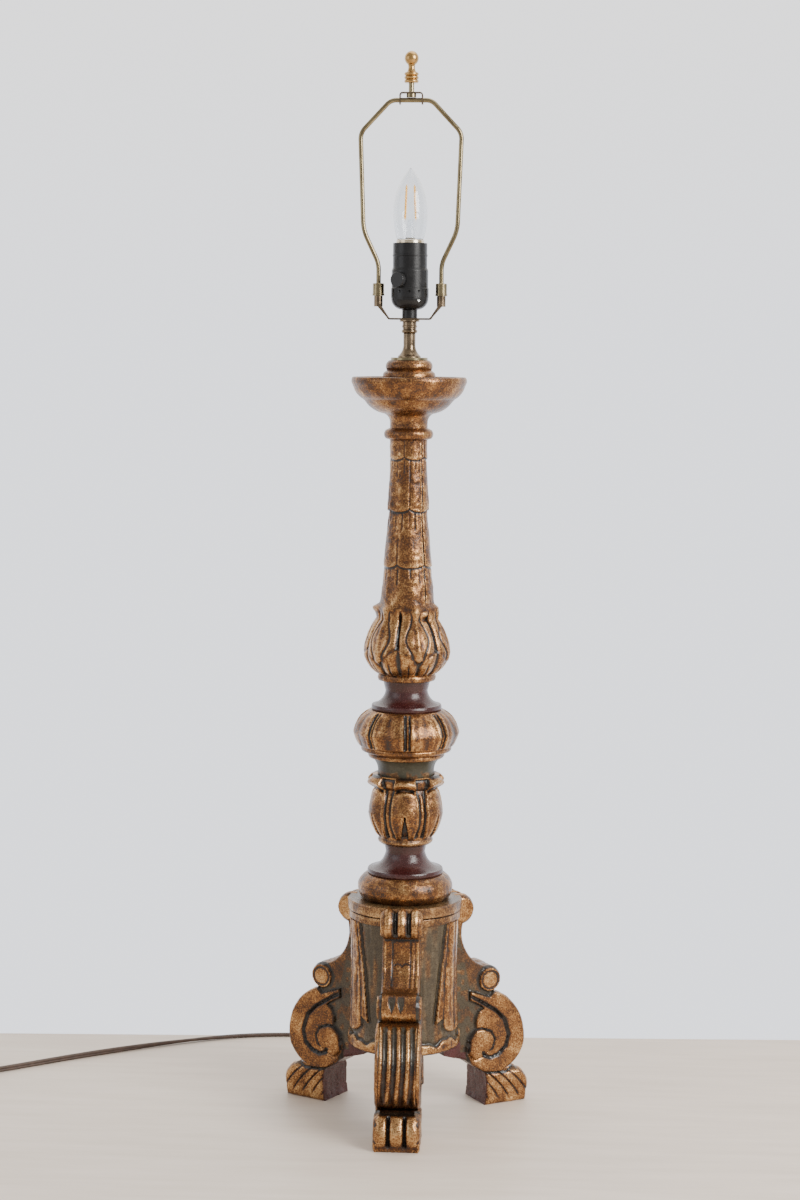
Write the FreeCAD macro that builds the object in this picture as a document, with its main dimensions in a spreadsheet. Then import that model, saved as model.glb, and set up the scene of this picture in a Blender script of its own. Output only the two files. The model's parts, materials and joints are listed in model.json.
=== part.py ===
import FreeCAD, Part
import math
import os

import Sketcher

# Carved and gilded altar candlestick on three scroll legs, later fitted as a table lamp.
# Millimetres, +Z up. The stem axis stands at x = 0, y = stem_y; the origin is the middle of
# the object's box on the surface that it stands on.

# ---------------------------------------------------------------- driving dimensions
# Names end in _r for a radius about the piece's own axis, _z for a height above the floor,
# _w for a width. Heights and radii of one turned piece stand together.
SIZES = {
    # whole object
    "stem_y": 23.4, "floor_z": 0,
    # joints of the turned wood: a round tenon below each section, a mortise above, a bore
    "bore_r": 5.6, "tenon_r": 11, "mortise_r": 11.05, "tenon_long": 16, "mortise_deep": 17,
    # plinth
    "plinth_foot_z": 76, "plinth_top_z": 213.5, "plinth_foot_r": 58, "plinth_waist_r": 55.5,
    "plinth_waist_z": 150, "plinth_top_r": 57, "cavity_r": 26, "cavity_z": 122,
    "housing_in": 46.3, "housing_out": 90, "housing_half": 20.1, "dowel_r": 4,
    "dowel_hole_r": 4.05, "dowel_in": 34, "dowel_hole_in": 33.5, "dowel_out": 58,
    "dowel_hole_out": 58.5, "dowel_low_z": 104, "dowel_high_z": 180, "lead_hole_r": 4.6,
    # plinth cap
    "cap_top_z": 233.4, "cap_line_z": 221.6, "cap_r": 60.3, "cap_low_r": 59, "cap_edge": 1.5,
    # legs: distance from the stem axis and height, for one leg seen from its side
    "leg_w": 40, "leg_in": 46.4, "leg_top_z": 233.2, "roll_in": 57.5, "roll_out": 73.3,
    "roll_mid_z": 217.5, "roll_foot": 60.5, "roll_foot_z": 202, "strap_mid": 64.5,
    "strap_mid_z": 172, "lip_top": 88, "lip_top_z": 152.4, "lip_out": 106.5, "lip_mid_z": 138,
    "lip_foot": 98, "lip_foot_z": 124.6, "scroll_high": 124.5, "scroll_high_z": 105.5,
    "scroll_out": 135.5, "scroll_out_z": 73, "scroll_low": 128, "scroll_low_z": 49,
    "scroll_foot": 111, "scroll_foot_z": 37.5, "paw_top": 130, "paw_top_z": 35,
    "paw_out": 139, "paw_out_z": 13, "paw_foot": 137, "paw_in": 87, "paw_waist": 89,
    "paw_waist_z": 19, "paw_back": 88, "paw_back_z": 35.5,
    "belly_in": 64, "belly_in_z": 52, "tongue_in": 38, "tongue_low_z": 60,
    "tongue_top_z": 75.9, "scroll_w": 46, "scroll_tip": 70, "scroll_tip_z": 128.5,
    "scroll_inner": 63.5, "scroll_inner_z": 70, "scroll_back": 70, "scroll_back_z": 46,
    "scroll_neck": 77, "scroll_neck_z": 84, "eye_w": 49, "eye_at": 84, "eye_z": 62,
    "eye_r": 17, "paw_w": 50, "toe_at": 139.5, "toe_side": 8.6, "toe_cut_r": 2.6,
    "toe_high": 60,
    # base torus, lower neck
    "torus_foot_r": 45, "torus_r": 50.2, "torus_mid_z": 246, "torus_top_z": 260,
    "torus_top_r": 40.5, "low_collar_r": 39.2, "low_collar_z": 265.5, "low_flare_r": 26.5,
    "low_flare_z": 271.5, "low_waist_r": 20.8, "low_waist_z": 283, "low_top_z": 291,
    "low_top_r": 22.4,
    # leaf cup
    "cup_bead_r": 27.9, "cup_bead_z": 295, "cup_bead_top_z": 299, "cup_low_r": 34,
    "cup_low_z": 308.5, "cup_wide_r": 39.2, "cup_wide_z": 326, "cup_turn_r": 37.6,
    "cup_turn_z": 337, "cup_waist_r": 33.6, "cup_waist_z": 352, "cup_tip_r": 37,
    "cup_tip_z": 362, "cup_top_r": 35, "cup_top_z": 366, "cup_mouth_r": 31,
    "cup_seat_z": 351, "cup_flute_r": 3, "cup_flute_at": 41,
    # green cove, lobed knop, upper neck
    "cove_foot_r": 28.6, "cove_turn_z": 369, "cove_turn_r": 29.6, "cove_mid_r": 31.8,
    "cove_mid_z": 378.5, "cove_top_r": 36.8, "cove_top_z": 384.2, "knop_rim_r": 39,
    "knop_rim_z": 388.6, "knop_band_r": 46.8, "knop_band_z": 391.5, "knop_step_z": 395.5,
    "knop_low_r": 51, "knop_low_z": 399.4, "knop_r": 55.5, "knop_mid_z": 411,
    "knop_high_r": 50.5, "knop_high_z": 424, "knop_top_r": 38.5, "knop_top_z": 434.6,
    "knop_flute_r": 4.2, "knop_flute_at": 56.5, "neck_collar_r": 36,
    "neck_collar_z": 440.3, "neck_flare_r": 25.8, "neck_flare_z": 446.2, "neck_waist_r": 22.2,
    "neck_waist_z": 455, "neck_top_r": 25, "neck_top_z": 466,
    # leaf-carved shaft, in one piece with the bulb of leaves at its foot
    "shaft_fillet_r": 30, "shaft_fillet_z": 472.4, "shaft_low_r": 38.6, "shaft_low_z": 481,
    "shaft_bulb_r": 44.7, "shaft_bulb_z": 497.5, "shaft_high_r": 41, "shaft_high_z": 513,
    "shaft_neck_r": 31, "shaft_neck_z": 531, "leaf_tip_r": 35, "leaf_tip_z": 543,
    "tier_one_r": 28.2, "tier_one_z": 547, "tier_two_r": 25.1, "tier_two_z": 587,
    "tier_three_r": 21.5, "tier_three_z": 645, "tier_four_r": 19.6, "tier_four_z": 699,
    "tier_step": 1.0, "shaft_top_r": 18.7, "shaft_top_z": 717.4, "bulb_flute_r": 2.6,
    "bulb_flute_at": 45.5,
    # drip pan and the turned dome in its dish
    "astragal_r": 25, "astragal_low_z": 719, "astragal_top_z": 727.8, "pan_neck_r": 19.6,
    "pan_neck_z": 730, "pan_neck_top_z": 736, "pan_cove_r": 25.4, "pan_cove_z": 744.6,
    "pan_cove_mid_r": 21.6, "pan_cove_mid_z": 741.5, "pan_tier_r": 45.4, "pan_tier_z": 757.2,
    "pan_tier_mid_r": 38.4, "pan_tier_mid_z": 750, "pan_step_r": 47.6, "pan_step_z": 759.6,
    "pan_wall_r": 57.6, "pan_wall_z": 771.5, "pan_wall_mid_r": 53.8, "pan_wall_mid_z": 764.5,
    "pan_rim_r": 59.4, "pan_rim_low_z": 775.5, "pan_rim_z": 781.6, "pan_lip_r": 54.6,
    "pan_dish_r": 44, "pan_dish_z": 768.6, "pan_dish_mid_r": 51.6, "pan_dish_mid_z": 772.5,
    "dome_r": 26.6, "dome_bead_z": 787, "dome_groove_r": 23.2,
    "dome_groove_z": 789.4, "dome_high_r": 24.4, "dome_high_z": 793.4, "dome_top_r": 20.4,
    "dome_top_z": 799.8,
    # threaded pipe through the stem, with its washer and nut in the plinth
    "pipe_r": 4.85, "pipe_bore_r": 3.4, "pipe_foot_z": 112, "pipe_top_z": 852,
    "washer_r": 13, "washer_low_z": 120, "nut_low_z": 114.5, "nut_across": 15.9,
    "metal_bore_r": 4.95,
    # metal at the head: check ring, neck, collar, washer
    "ring_r": 19.2, "ring_top_z": 802.6, "neck_flange_r": 11.9, "neck_flange_z": 804.4,
    "neck_bell_r": 8, "neck_bell_z": 808.8, "neck_tube_r": 6.3, "neck_tube_z": 817,
    "neck_head_z": 827.6, "collar_bead_r": 8, "collar_bead_z": 829.6, "collar_step_z": 831.6,
    "collar_r": 7.3, "collar_ring_r": 7.9, "collar_ring_z": 835.6, "collar_top_z": 839.4,
    "seat_r": 10.2, "seat_top_z": 841.5,
    # harp saddle: a bent strap with two round posts
    "saddle_thick": 1.5, "saddle_half": 21.5, "post_at": 32.5, "saddle_bend_z": 855.5,
    "saddle_deep": 11, "post_r": 4.6, "post_low_z": 855, "post_top_z": 865.8, "pin_r": 3.2,
    "pin_top_z": 872, "arm_skew": 1.1,
    # ferrules that slide down over the posts
    "ferrule_r": 5.9, "ferrule_foot_r": 6.25, "ferrule_foot_top_z": 868, "ferrule_low_z": 866,
    "ferrule_top_z": 878.8, "ferrule_bore_r": 3.45, "ferrule_seat_z": 873,
    "ferrule_wire_r": 2.55,
    # harp wire
    "wire_r": 2.45, "wire_foot_z": 873.4, "wire_knee_z": 899, "wire_side": 48.5,
    "wire_side_z": 933, "wire_shoulder": 52, "wire_shoulder_z": 1032, "wire_top": 21,
    "wire_top_z": 1065, "knee_bend": 30, "side_bend": 45, "shoulder_bend": 16,
    "top_bend": 13,
    # bracket over the wire, swivel stud, finial
    "bracket_half": 12, "bracket_thick": 1.1, "bracket_top_z": 1073, "bracket_foot_z": 1060.5,
    "bracket_deep": 8, "wire_hole_r": 2.55, "stud_hole_r": 2.95, "stud_r": 2.8,
    "stud_flange_r": 5, "stud_low_z": 1067.7, "stud_flange_z": 1071.7, "stud_top_z": 1091,
    "finial_bore_r": 2.9, "finial_low_z": 1082.5, "finial_bore_z": 1093, "finial_ring_r": 7.4,
    "finial_ring_z": 1092.6, "finial_foot_r": 4.8, "finial_foot_z": 1093.6,
    "finial_waist_r": 3.4, "finial_waist_z": 1098, "finial_ball_foot_z": 1101,
    "finial_ball_foot_r": 3.8, "finial_ball_r": 7.2, "finial_ball_z": 1107.5,
    "finial_top_z": 1114.7, "finial_groove_r": 6, "finial_ring_one_z": 1085.2,
    "tip_flat_r": 0.6, "finial_gap_one_z": 1085.9, "finial_ring_two_z": 1089,
    "finial_gap_two_z": 1089.7,
    # socket: cap, body, sleeve and what is inside
    "hub_r": 7.9, "hub_low_z": 843, "hub_top_z": 851.5, "cap_round_r": 15.6,
    "cap_round_z": 854.6, "socket_r": 19.2, "socket_low_z": 864, "cap_wall_r": 17.4,
    "cap_inner_r": 13.6, "cap_inner_z": 857, "cap_floor_z": 853.5, "cap_floor_r": 6.5,
    "band_r": 19.5, "band_top_z": 874, "body_r": 18.9, "body_top_z": 892,
    "body_end_z": 894.5, "body_end_r": 17.9, "body_inner_r": 17.1, "sleeve_r": 17.7,
    "sleeve_ring_r": 18.2, "sleeve_ring_low_z": 906.4, "sleeve_ring_top_z": 908.4,
    "sleeve_top_z": 920, "sleeve_inner_r": 14.6, "vent_r": 1, "vent_z": 870.6,
    "block_r": 9, "block_low_z": 868, "block_top_z": 885.4, "disc_r": 15.5,
    "disc_top_z": 890.4, "shell_in_r": 13.4, "shell_out_r": 13.9, "shell_low_z": 893,
    "shell_floor_z": 893.8, "shell_top_z": 918.5, "shell_hole_r": 6, "contact_r": 4,
    "contact_top_z": 893.4, "terminal_r": 1.8, "terminal_in": 9.1, "terminal_long": 4.6,
    "terminal_z": 876, "grub_r": 1.3, "grub_hole_r": 1.35, "grub_in": 15.4, "grub_out": 19.1,
    "grub_z": 861,
    # turn switch: shaft and knob along the switch's own axis
    "key_z": 882, "key_r": 1.6, "key_hole_r": 1.75, "key_in": 9.3, "key_out": 23.5,
    "knob_r": 8, "knob_in": 20.3, "knob_out": 25.6, "knob_bore_r": 1.65, "knob_bore_end": 23.6,
    # bulb
    "bulb_contact_r": 4.8, "bulb_contact_z": 893.9, "bulb_glaze_z": 895.6,
    "bulb_glaze_r": 10.5, "base_low_z": 899, "base_r": 13.1, "base_inner_r": 12.6,
    "base_rim_low_z": 920.1, "base_rim_r": 14.3, "base_rim_z": 923.2, "glass_neck_r": 12.4,
    "glass_foot_z": 916, "glass_turn_z": 923.3, "glass_low_r": 13.4, "glass_swell_r": 16.4,
    "glass_swell_z": 935, "glass_r": 17.3, "glass_mid_z": 949, "glass_high_r": 14.1,
    "glass_high_z": 973, "glass_tip_r": 5.2, "glass_tip_z": 990.6, "glass_point_r": 2.1,
    "glass_point_z": 994.6, "glass_top_z": 996.4, "glass_wall": 0.8, "glass_end_z": 995.6,
    "stem_low_z": 917.6, "stem_flange_r": 10.8, "stem_flange_z": 919, "stem_mid_r": 4.6,
    "stem_mid_z": 925, "stem_top_r": 3, "stem_top_z": 944, "thread_r": 0.9,
    "thread_low_z": 944.6, "thread_long": 35, "thread_side": 3.6, "thread_deep": 1.9,
    "thread_lean": 4,
    # lead inside, bushing, free cord, coil, tie and plug
    "lead_r": 2.8, "lead_top_z": 866, "exit_z": 88, "lead_bend": 24,
    "bushing_bore_r": 2.9, "bushing_in": 42, "bushing_face": 58.6, "bushing_flange": 60.6,
    "bushing_end": 80, "bushing_body_r": 4.5, "bushing_flange_r": 7, "bushing_cone_r": 5.4,
    "bushing_tip_r": 3.9, "cord_r": 3.3, "coil_x": -509.4, "coil_y": 108.4, "coil_in_r": 28.8,
    "coil_out_r": 41.8, "coil_low_z": 0.9, "coil_top_z": 14.5, "coil_edge": 3, "tie_w": 5,
    "tie_thick": 0.8, "tie_gap": 0.1, "plug_x": -547, "plug_y": 151, "plug_z": 6.2,
    "plug_sleeve": 12, "plug_sleeve_r": 4.3, "plug_long": 21, "plug_half_w": 11.5,
    "plug_half_high": 5.9, "plug_edge": 3, "blade_long": 16, "blade_high": 6.3, "blade_thick": 1.5,
    "blade_pitch": 12.7,
}

# directions in degrees about the stem axis; 0 is +X, -90 faces the front
LEG_AZIMUTHS = {"leg_front": -90, "leg_right": 30, "leg_left": 150}
SWITCH_AZIMUTH = -119
GRUB_AZIMUTH = -58
PLUG_AZIMUTH = 97
TIE_AZIMUTH = 60
CUP_PETALS = 6
KNOP_LOBES = 8
SHAFT_FLUTES = 12
VENTS = 12

# Free cord, from the bushing to the coil and from the coil to the plug. Millimetres from the
# stem axis. It leaves straight back, comes down to the floor and lies in a long easy curve.
CORD_ROUTE = [
    (0, 80, 88), (0, 104, 86.5), (-1, 138, 64), (-4, 168, 30), (-10, 203, 6),
    (-32, 240, 3.4), (-80, 265, 3.4), (-150, 267, 3.4), (-215, 255, 3.4),
    (-288, 217, 3.4), (-376, 161, 3.4), (-450, 104.5, 3.4), (-471, 92, 3.6),
]
TAIL_ROUTE = [(-544.6, 132, 9.6), (-545.2, 141, 7.6), (-547, 151, 6.2)]

doc = FreeCAD.newDocument("candlestick")
sheet = doc.addObject("Spreadsheet::Sheet", "sizes")
for row, (alias, amount) in enumerate(SIZES.items(), start=1):
    sheet.set(f"A{row}", alias)
    sheet.set(f"B{row}", str(amount))
    sheet.setAlias(f"B{row}", alias)
doc.recompute()

made = {}


def value(text):
    """Sum of aliases such as "cap_top_z - tenon_long", as a number."""
    total, sign = 0.0, 1
    for word in text.split():
        if word in ("+", "-"):
            sign = 1 if word == "+" else -1
        else:
            total += sign * float(sheet.get(word))
    return total


def formula(text):
    """The same sum as an expression that reads the sheet."""
    return " ".join(word if word in ("+", "-") else f"sizes.{word}" for word in text.split())


def opposite(text):
    """The expression text with its sign turned, for a mirrored coordinate."""
    swap = {"+": "-", "-": "+"}
    words = [swap.get(word, word) for word in text.split()]
    return "- " + " ".join(words)


def place(piece, x=None, y="stem_y", z=None, azimuth=0.0):
    """Stand a piece on the stem axis, or at x, y, z, turned about Z."""
    turn = FreeCAD.Rotation(FreeCAD.Vector(0, 0, 1), azimuth)
    piece.Placement = FreeCAD.Placement(FreeCAD.Vector(0, value(y), 0), turn)
    for letter, text in (("x", x), ("y", y), ("z", z)):
        if text:
            piece.setExpression(f"Placement.Base.{letter}", formula(text))


def keep(piece, label):
    """Name a finished sub-part; its label is its file name."""
    piece.Label = label
    made[label] = piece
    return piece


def body(label, **where):
    """An empty PartDesign body in its place."""
    new = doc.addObject("PartDesign::Body", label)
    place(new, **where)
    return keep(new, label)


def origin_part(host, role):
    """A body's own origin plane or axis."""
    return [item for item in host.Origin.OriginFeatures if item.Role == role][0]


def pin_point(sketch, geometry, corner, x, y):
    """Fix one point of a sketch at two sums of cells; "0" is on the axis."""
    for text, kind, axis in ((x, "DistanceX", -2), (y, "DistanceY", -1)):
        if text == "0":
            sketch.addConstraint(Sketcher.Constraint("PointOnObject", geometry, corner, axis))
        else:
            rule = Sketcher.Constraint(kind, geometry, corner, value(text))
            sketch.setExpression(f"Constraints[{sketch.addConstraint(rule)}]", formula(text))


def point(x, y):
    """A sketch point from two sums of cells."""
    return FreeCAD.Vector(0 if x == "0" else value(x), 0 if y == "0" else value(y), 0)


def sketch_on(host, name, role, offset=None):
    """A sketch on one of the body's origin planes, moved along its normal by offset."""
    sketch = host.newObject("Sketcher::SketchObject", name)
    sketch.AttachmentSupport = (origin_part(host, role), [""])
    sketch.MapMode = "FlatFace"
    if offset:
        sketch.setExpression("AttachmentOffset.Base.z", formula(offset))
    return sketch


def outline(sketch, steps):
    """Closed outline. A step is (x, y), or (x, y, via_x, via_y) for an arc that arrives at
    x, y through the second pair. A sketch counts an arc's ends anticlockwise, so an arc
    that runs the other way is entered end first."""
    edges = []
    for number, step in enumerate(steps):
        start = point(*steps[number - 1][:2])
        end = point(*step[:2])
        flipped = False
        if len(step) == 4:
            via = point(*step[2:])
            flipped = (via - start).cross(end - via).z < 0
            curve = Part.Arc(end, via, start) if flipped else Part.Arc(start, via, end)
        else:
            curve = Part.LineSegment(start, end)
        index = sketch.addGeometry(curve, False)
        edges.append((index, (2, 1) if flipped else (1, 2)))
    for number, step in enumerate(steps):
        index, ends = edges[number]
        following, next_ends = edges[(number + 1) % len(edges)]
        meet = Sketcher.Constraint("Coincident", index, ends[1], following, next_ends[0])
        sketch.addConstraint(meet)
        pin_point(sketch, index, ends[1], *step[:2])
        if len(step) == 4:
            mark = sketch.addGeometry(Part.Point(point(*step[2:])), True)
            sketch.addConstraint(Sketcher.Constraint("PointOnObject", mark, 1, index))
            pin_point(sketch, mark, 1, *step[2:])


def circle(sketch, x, y, radius):
    """A full circle with its centre and radius bound."""
    centre = point(x, y)
    index = sketch.addGeometry(Part.Circle(centre, FreeCAD.Vector(0, 0, 1), value(radius)))
    rule = sketch.addConstraint(Sketcher.Constraint("Radius", index, value(radius)))
    sketch.setExpression(f"Constraints[{rule}]", formula(radius))
    pin_point(sketch, index, 3, x, y)


def turn(host, name, steps):
    """Revolve an outline of radius and height about the body's own Z axis."""
    sketch = sketch_on(host, name + "_outline", "XZ_Plane")
    outline(sketch, steps)
    feature = host.newObject("PartDesign::Revolution", name)
    feature.Profile = sketch
    feature.ReferenceAxis = (sketch, ["V_Axis"])
    feature.Angle = 360
    sketch.Visibility = False
    return feature


def turned(label, steps, **where):
    """A whole sub-part turned in one revolution."""
    host = body(label, **where)
    turn(host, label + "_turning", steps)
    return host


def section(label, foot, head, side):
    """Turned wood between two heights, with a tenon below, a mortise above and a bore."""
    return turned(label, [
        ("bore_r", foot + " - tenon_long"), ("tenon_r", foot + " - tenon_long"),
        ("tenon_r", foot), *side,
        ("mortise_r", head), ("mortise_r", head + " - mortise_deep"),
        ("bore_r", head + " - mortise_deep")])


def pad(host, name, sketch, length, both=True):
    """Pad a sketch by a cell's length, half to each side or all along the normal."""
    feature = host.newObject("PartDesign::Pad", name)
    feature.Profile = sketch
    feature.SideType = "Symmetric" if both else "One side"
    feature.setExpression("Length", formula(length))
    return feature


def cut_through(host, name, sketch, reach):
    """Cut a sketch right through, by reach in all, half to each side."""
    doc.recompute()
    before = host.Shape.Volume
    feature = host.newObject("PartDesign::Pocket", name)
    feature.Profile = sketch
    feature.SideType = "Symmetric"
    feature.setExpression("Length", formula(reach) + " + " + formula(reach))
    doc.recompute()
    if host.Shape.Volume >= before - 0.01:
        raise RuntimeError(name + " cuts nothing")
    return feature


def cut_out_along(host, name, sketch, length, towards_back=False):
    """Cut a sketch from its plane along the plane's own normal, or against it."""
    doc.recompute()
    before = host.Shape.Volume
    feature = host.newObject("PartDesign::Pocket", name)
    feature.Profile = sketch
    feature.Reversed = not towards_back
    feature.setExpression("Length", formula(length))
    doc.recompute()
    if host.Shape.Volume >= before - 0.01:
        raise RuntimeError(name + " cuts nothing")
    return feature


def around(host, name, feature, count):
    """Repeat a feature evenly about the body's Z axis."""
    pattern = host.newObject("PartDesign::PolarPattern", name)
    pattern.Originals = [feature]
    pattern.Axis = (origin_part(host, "Z_Axis"), [""])
    pattern.Angle = 360
    pattern.Occurrences = count
    host.Tip = pattern
    return pattern


def flutes(host, name, radius, distance, azimuth_count, reach):
    """Straight flutes around a turned piece: round cuts whose centres lie on one circle."""
    sketch = sketch_on(host, name + "_outline", "XY_Plane")
    circle(sketch, distance, "0", radius)
    feature = cut_through(host, name, sketch, reach)
    around(host, name + "_ring", feature, azimuth_count)


def cylinder(name, radius, height, base, direction):
    """A plain round solid along a direction."""
    solid = doc.addObject("Part::Cylinder", name)
    solid.setExpression("Radius", formula(radius))
    solid.setExpression("Height", formula(height))
    up = FreeCAD.Vector(0, 0, 1)
    solid.Placement = FreeCAD.Placement(base, FreeCAD.Rotation(up, direction))
    return solid


def group(label, members, **where):
    """Identical fasteners or strands kept together as one node of separate solids."""
    compound = doc.addObject("Part::Compound", label)
    compound.Links = members
    place(compound, **where)
    return keep(compound, label)


def polar(distance, azimuth, height=0.0):
    """A point at a distance and direction from the stem axis."""
    angle = math.radians(azimuth)
    return FreeCAD.Vector(distance * math.cos(angle), distance * math.sin(angle), height)


def rounded_path(points, radii):
    """Straight runs joined by tangent arcs, as one wire."""
    edges = []
    start = points[0]
    for number in range(1, len(points) - 1):
        before, corner, after = points[number - 1:number + 2]
        inward = (before - corner).normalize()
        onward = (after - corner).normalize()
        turn_angle = math.pi - inward.getAngle(onward)
        back = radii[number - 1] * math.tan(turn_angle / 2)
        middle = (inward + onward).normalize()
        apex = radii[number - 1] * (1 / math.cos(turn_angle / 2) - 1)
        arc_start = corner + inward * back
        arc_end = corner + onward * back
        edges.append(Part.LineSegment(start, arc_start).toShape())
        edges.append(Part.Arc(arc_start, corner + middle * apex, arc_end).toShape())
        start = arc_end
    edges.append(Part.LineSegment(start, points[-1]).toShape())
    return Part.Wire(edges)


def largest_radii(points):
    """Arc radii of a loose cord: 0.45 of the shorter run over tan of half the turn."""
    radii = []
    for before, corner, after in zip(points, points[1:], points[2:]):
        turn_angle = math.pi - (before - corner).getAngle(after - corner)
        shorter = min((corner - before).Length, (after - corner).Length)
        radii.append(0.45 * shorter / math.tan(turn_angle / 2))
    return radii


def tube(label, points, radii, radius):
    """A round tube along a rounded path; its volume is compared with area times length."""
    path = rounded_path(points, radii)
    heading = points[1] - points[0]
    ring = Part.Wire([Part.Circle(points[0], heading, radius).toShape()])
    solid = path.makePipeShell([ring], True, False)
    expected = math.pi * radius ** 2 * path.Length
    print(f"{label}: length {path.Length:.1f}, volume {solid.Volume:.0f} of {expected:.0f}, "
          f"radii {[round(bend) for bend in radii]}")
    if abs(solid.Volume - expected) > 0.01 * expected:
        raise RuntimeError(label + " has the wrong volume")
    feature = doc.addObject("Part::Feature", label)
    feature.Shape = solid
    place(feature)
    return keep(feature, label)


# ---------------------------------------------------------------- plinth, cap and legs
def leg_housings(host, name):
    """Three upright slots that take the legs' inner edges."""
    sketch = sketch_on(host, name + "_outline", "XY_Plane")
    low = opposite("housing_half")
    outline(sketch, [("housing_in", low), ("housing_out", low),
                     ("housing_out", "housing_half"), ("housing_in", "housing_half")])
    around(host, name + "_ring", cut_through(host, name, sketch, "cap_top_z"), 3)


def make_plinth():
    plinth = turned("plinth_body", [
        ("cavity_r", "plinth_foot_z"), ("plinth_foot_r", "plinth_foot_z"),
        ("plinth_top_r", "plinth_top_z", "plinth_waist_r", "plinth_waist_z"),
        ("mortise_r", "plinth_top_z"), ("mortise_r", "plinth_top_z - mortise_deep"),
        ("bore_r", "plinth_top_z - mortise_deep"), ("bore_r", "cavity_z"),
        ("cavity_r", "cavity_z")], azimuth=LEG_AZIMUTHS["leg_front"])
    leg_housings(plinth, "leg_housing")
    holes = sketch_on(plinth, "dowel_hole_outline", "YZ_Plane", "dowel_hole_in")
    circle(holes, "0", "dowel_low_z", "dowel_hole_r")
    circle(holes, "0", "dowel_high_z", "dowel_hole_r")
    around(plinth, "dowel_hole_ring",
           cut_out_along(plinth, "dowel_hole", holes, "dowel_hole_in"), 3)
    lead = sketch_on(plinth, "lead_hole_outline", "YZ_Plane")
    circle(lead, "0", "exit_z", "lead_hole_r")
    cut_out_along(plinth, "lead_hole", lead, "plinth_foot_r", towards_back=True)


def make_cap():
    cap = section("plinth_cap", "plinth_top_z", "cap_top_z", [
        ("cap_low_r", "plinth_top_z"), ("cap_low_r", "cap_line_z"), ("cap_r", "cap_line_z"),
        ("cap_r", "cap_top_z - cap_edge"), ("cap_r - cap_edge", "cap_top_z")])
    place(cap, azimuth=LEG_AZIMUTHS["leg_front"])
    leg_housings(cap, "cap_housing")


def make_leg(label, azimuth):
    leg = body(label, azimuth=azimuth)
    board = sketch_on(leg, label + "_board_outline", "XZ_Plane")
    outline(board, [
        ("leg_in", "tongue_top_z"), ("leg_in", "leg_top_z"), ("roll_in", "leg_top_z"),
        ("roll_foot", "roll_foot_z", "roll_out", "roll_mid_z"),
        ("lip_top", "lip_top_z", "strap_mid", "strap_mid_z"),
        ("lip_foot", "lip_foot_z", "lip_out", "lip_mid_z"), ("eye_at", "scroll_back_z"),
        ("belly_in", "belly_in_z"), ("tongue_in", "tongue_low_z"),
        ("tongue_in", "tongue_top_z")])
    pad(leg, label + "_board", board, "leg_w")
    scroll = sketch_on(leg, label + "_scroll_outline", "XZ_Plane")
    outline(scroll, [
        ("scroll_tip", "scroll_tip_z"), ("lip_foot", "lip_foot_z"),
        ("scroll_out", "scroll_out_z", "scroll_high", "scroll_high_z"),
        ("scroll_foot", "scroll_foot_z", "scroll_low", "scroll_low_z"),
        ("scroll_inner", "scroll_inner_z", "scroll_back", "scroll_back_z"),
        ("scroll_neck", "scroll_neck_z")])
    pad(leg, label + "_scroll", scroll, "scroll_w")
    eye = sketch_on(leg, label + "_eye_outline", "XZ_Plane")
    circle(eye, "eye_at", "eye_z", "eye_r")
    pad(leg, label + "_eye", eye, "eye_w")
    paw = sketch_on(leg, label + "_paw_outline", "XZ_Plane")
    outline(paw, [
        ("scroll_foot", "scroll_foot_z"), ("paw_out", "paw_out_z", "paw_top", "paw_top_z"),
        ("paw_foot", "0"), ("paw_in", "0"),
        ("paw_back", "paw_back_z", "paw_waist", "paw_waist_z")])
    pad(leg, label + "_paw", paw, "paw_w")
    toes = sketch_on(leg, label + "_toe_outline", "XY_Plane")
    circle(toes, "toe_at", "toe_side", "toe_cut_r")
    circle(toes, "toe_at", opposite("toe_side"), "toe_cut_r")
    cut_through(leg, label + "_toes", toes, "toe_high")
    holes = sketch_on(leg, label + "_dowel_outline", "YZ_Plane")
    circle(holes, "0", "dowel_low_z", "dowel_hole_r")
    circle(holes, "0", "dowel_high_z", "dowel_hole_r")
    cut_out_along(leg, label + "_dowel_holes", holes, "dowel_hole_out")


def make_dowels():
    dowels = []
    for label, azimuth in LEG_AZIMUTHS.items():
        for level in ("dowel_low_z", "dowel_high_z"):
            base = polar(value("dowel_in"), azimuth, value(level))
            dowels.append(cylinder(f"{label}_{level}", "dowel_r", "dowel_out - dowel_in",
                                   base, polar(1, azimuth)))
    group("leg_dowels", dowels)


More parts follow.
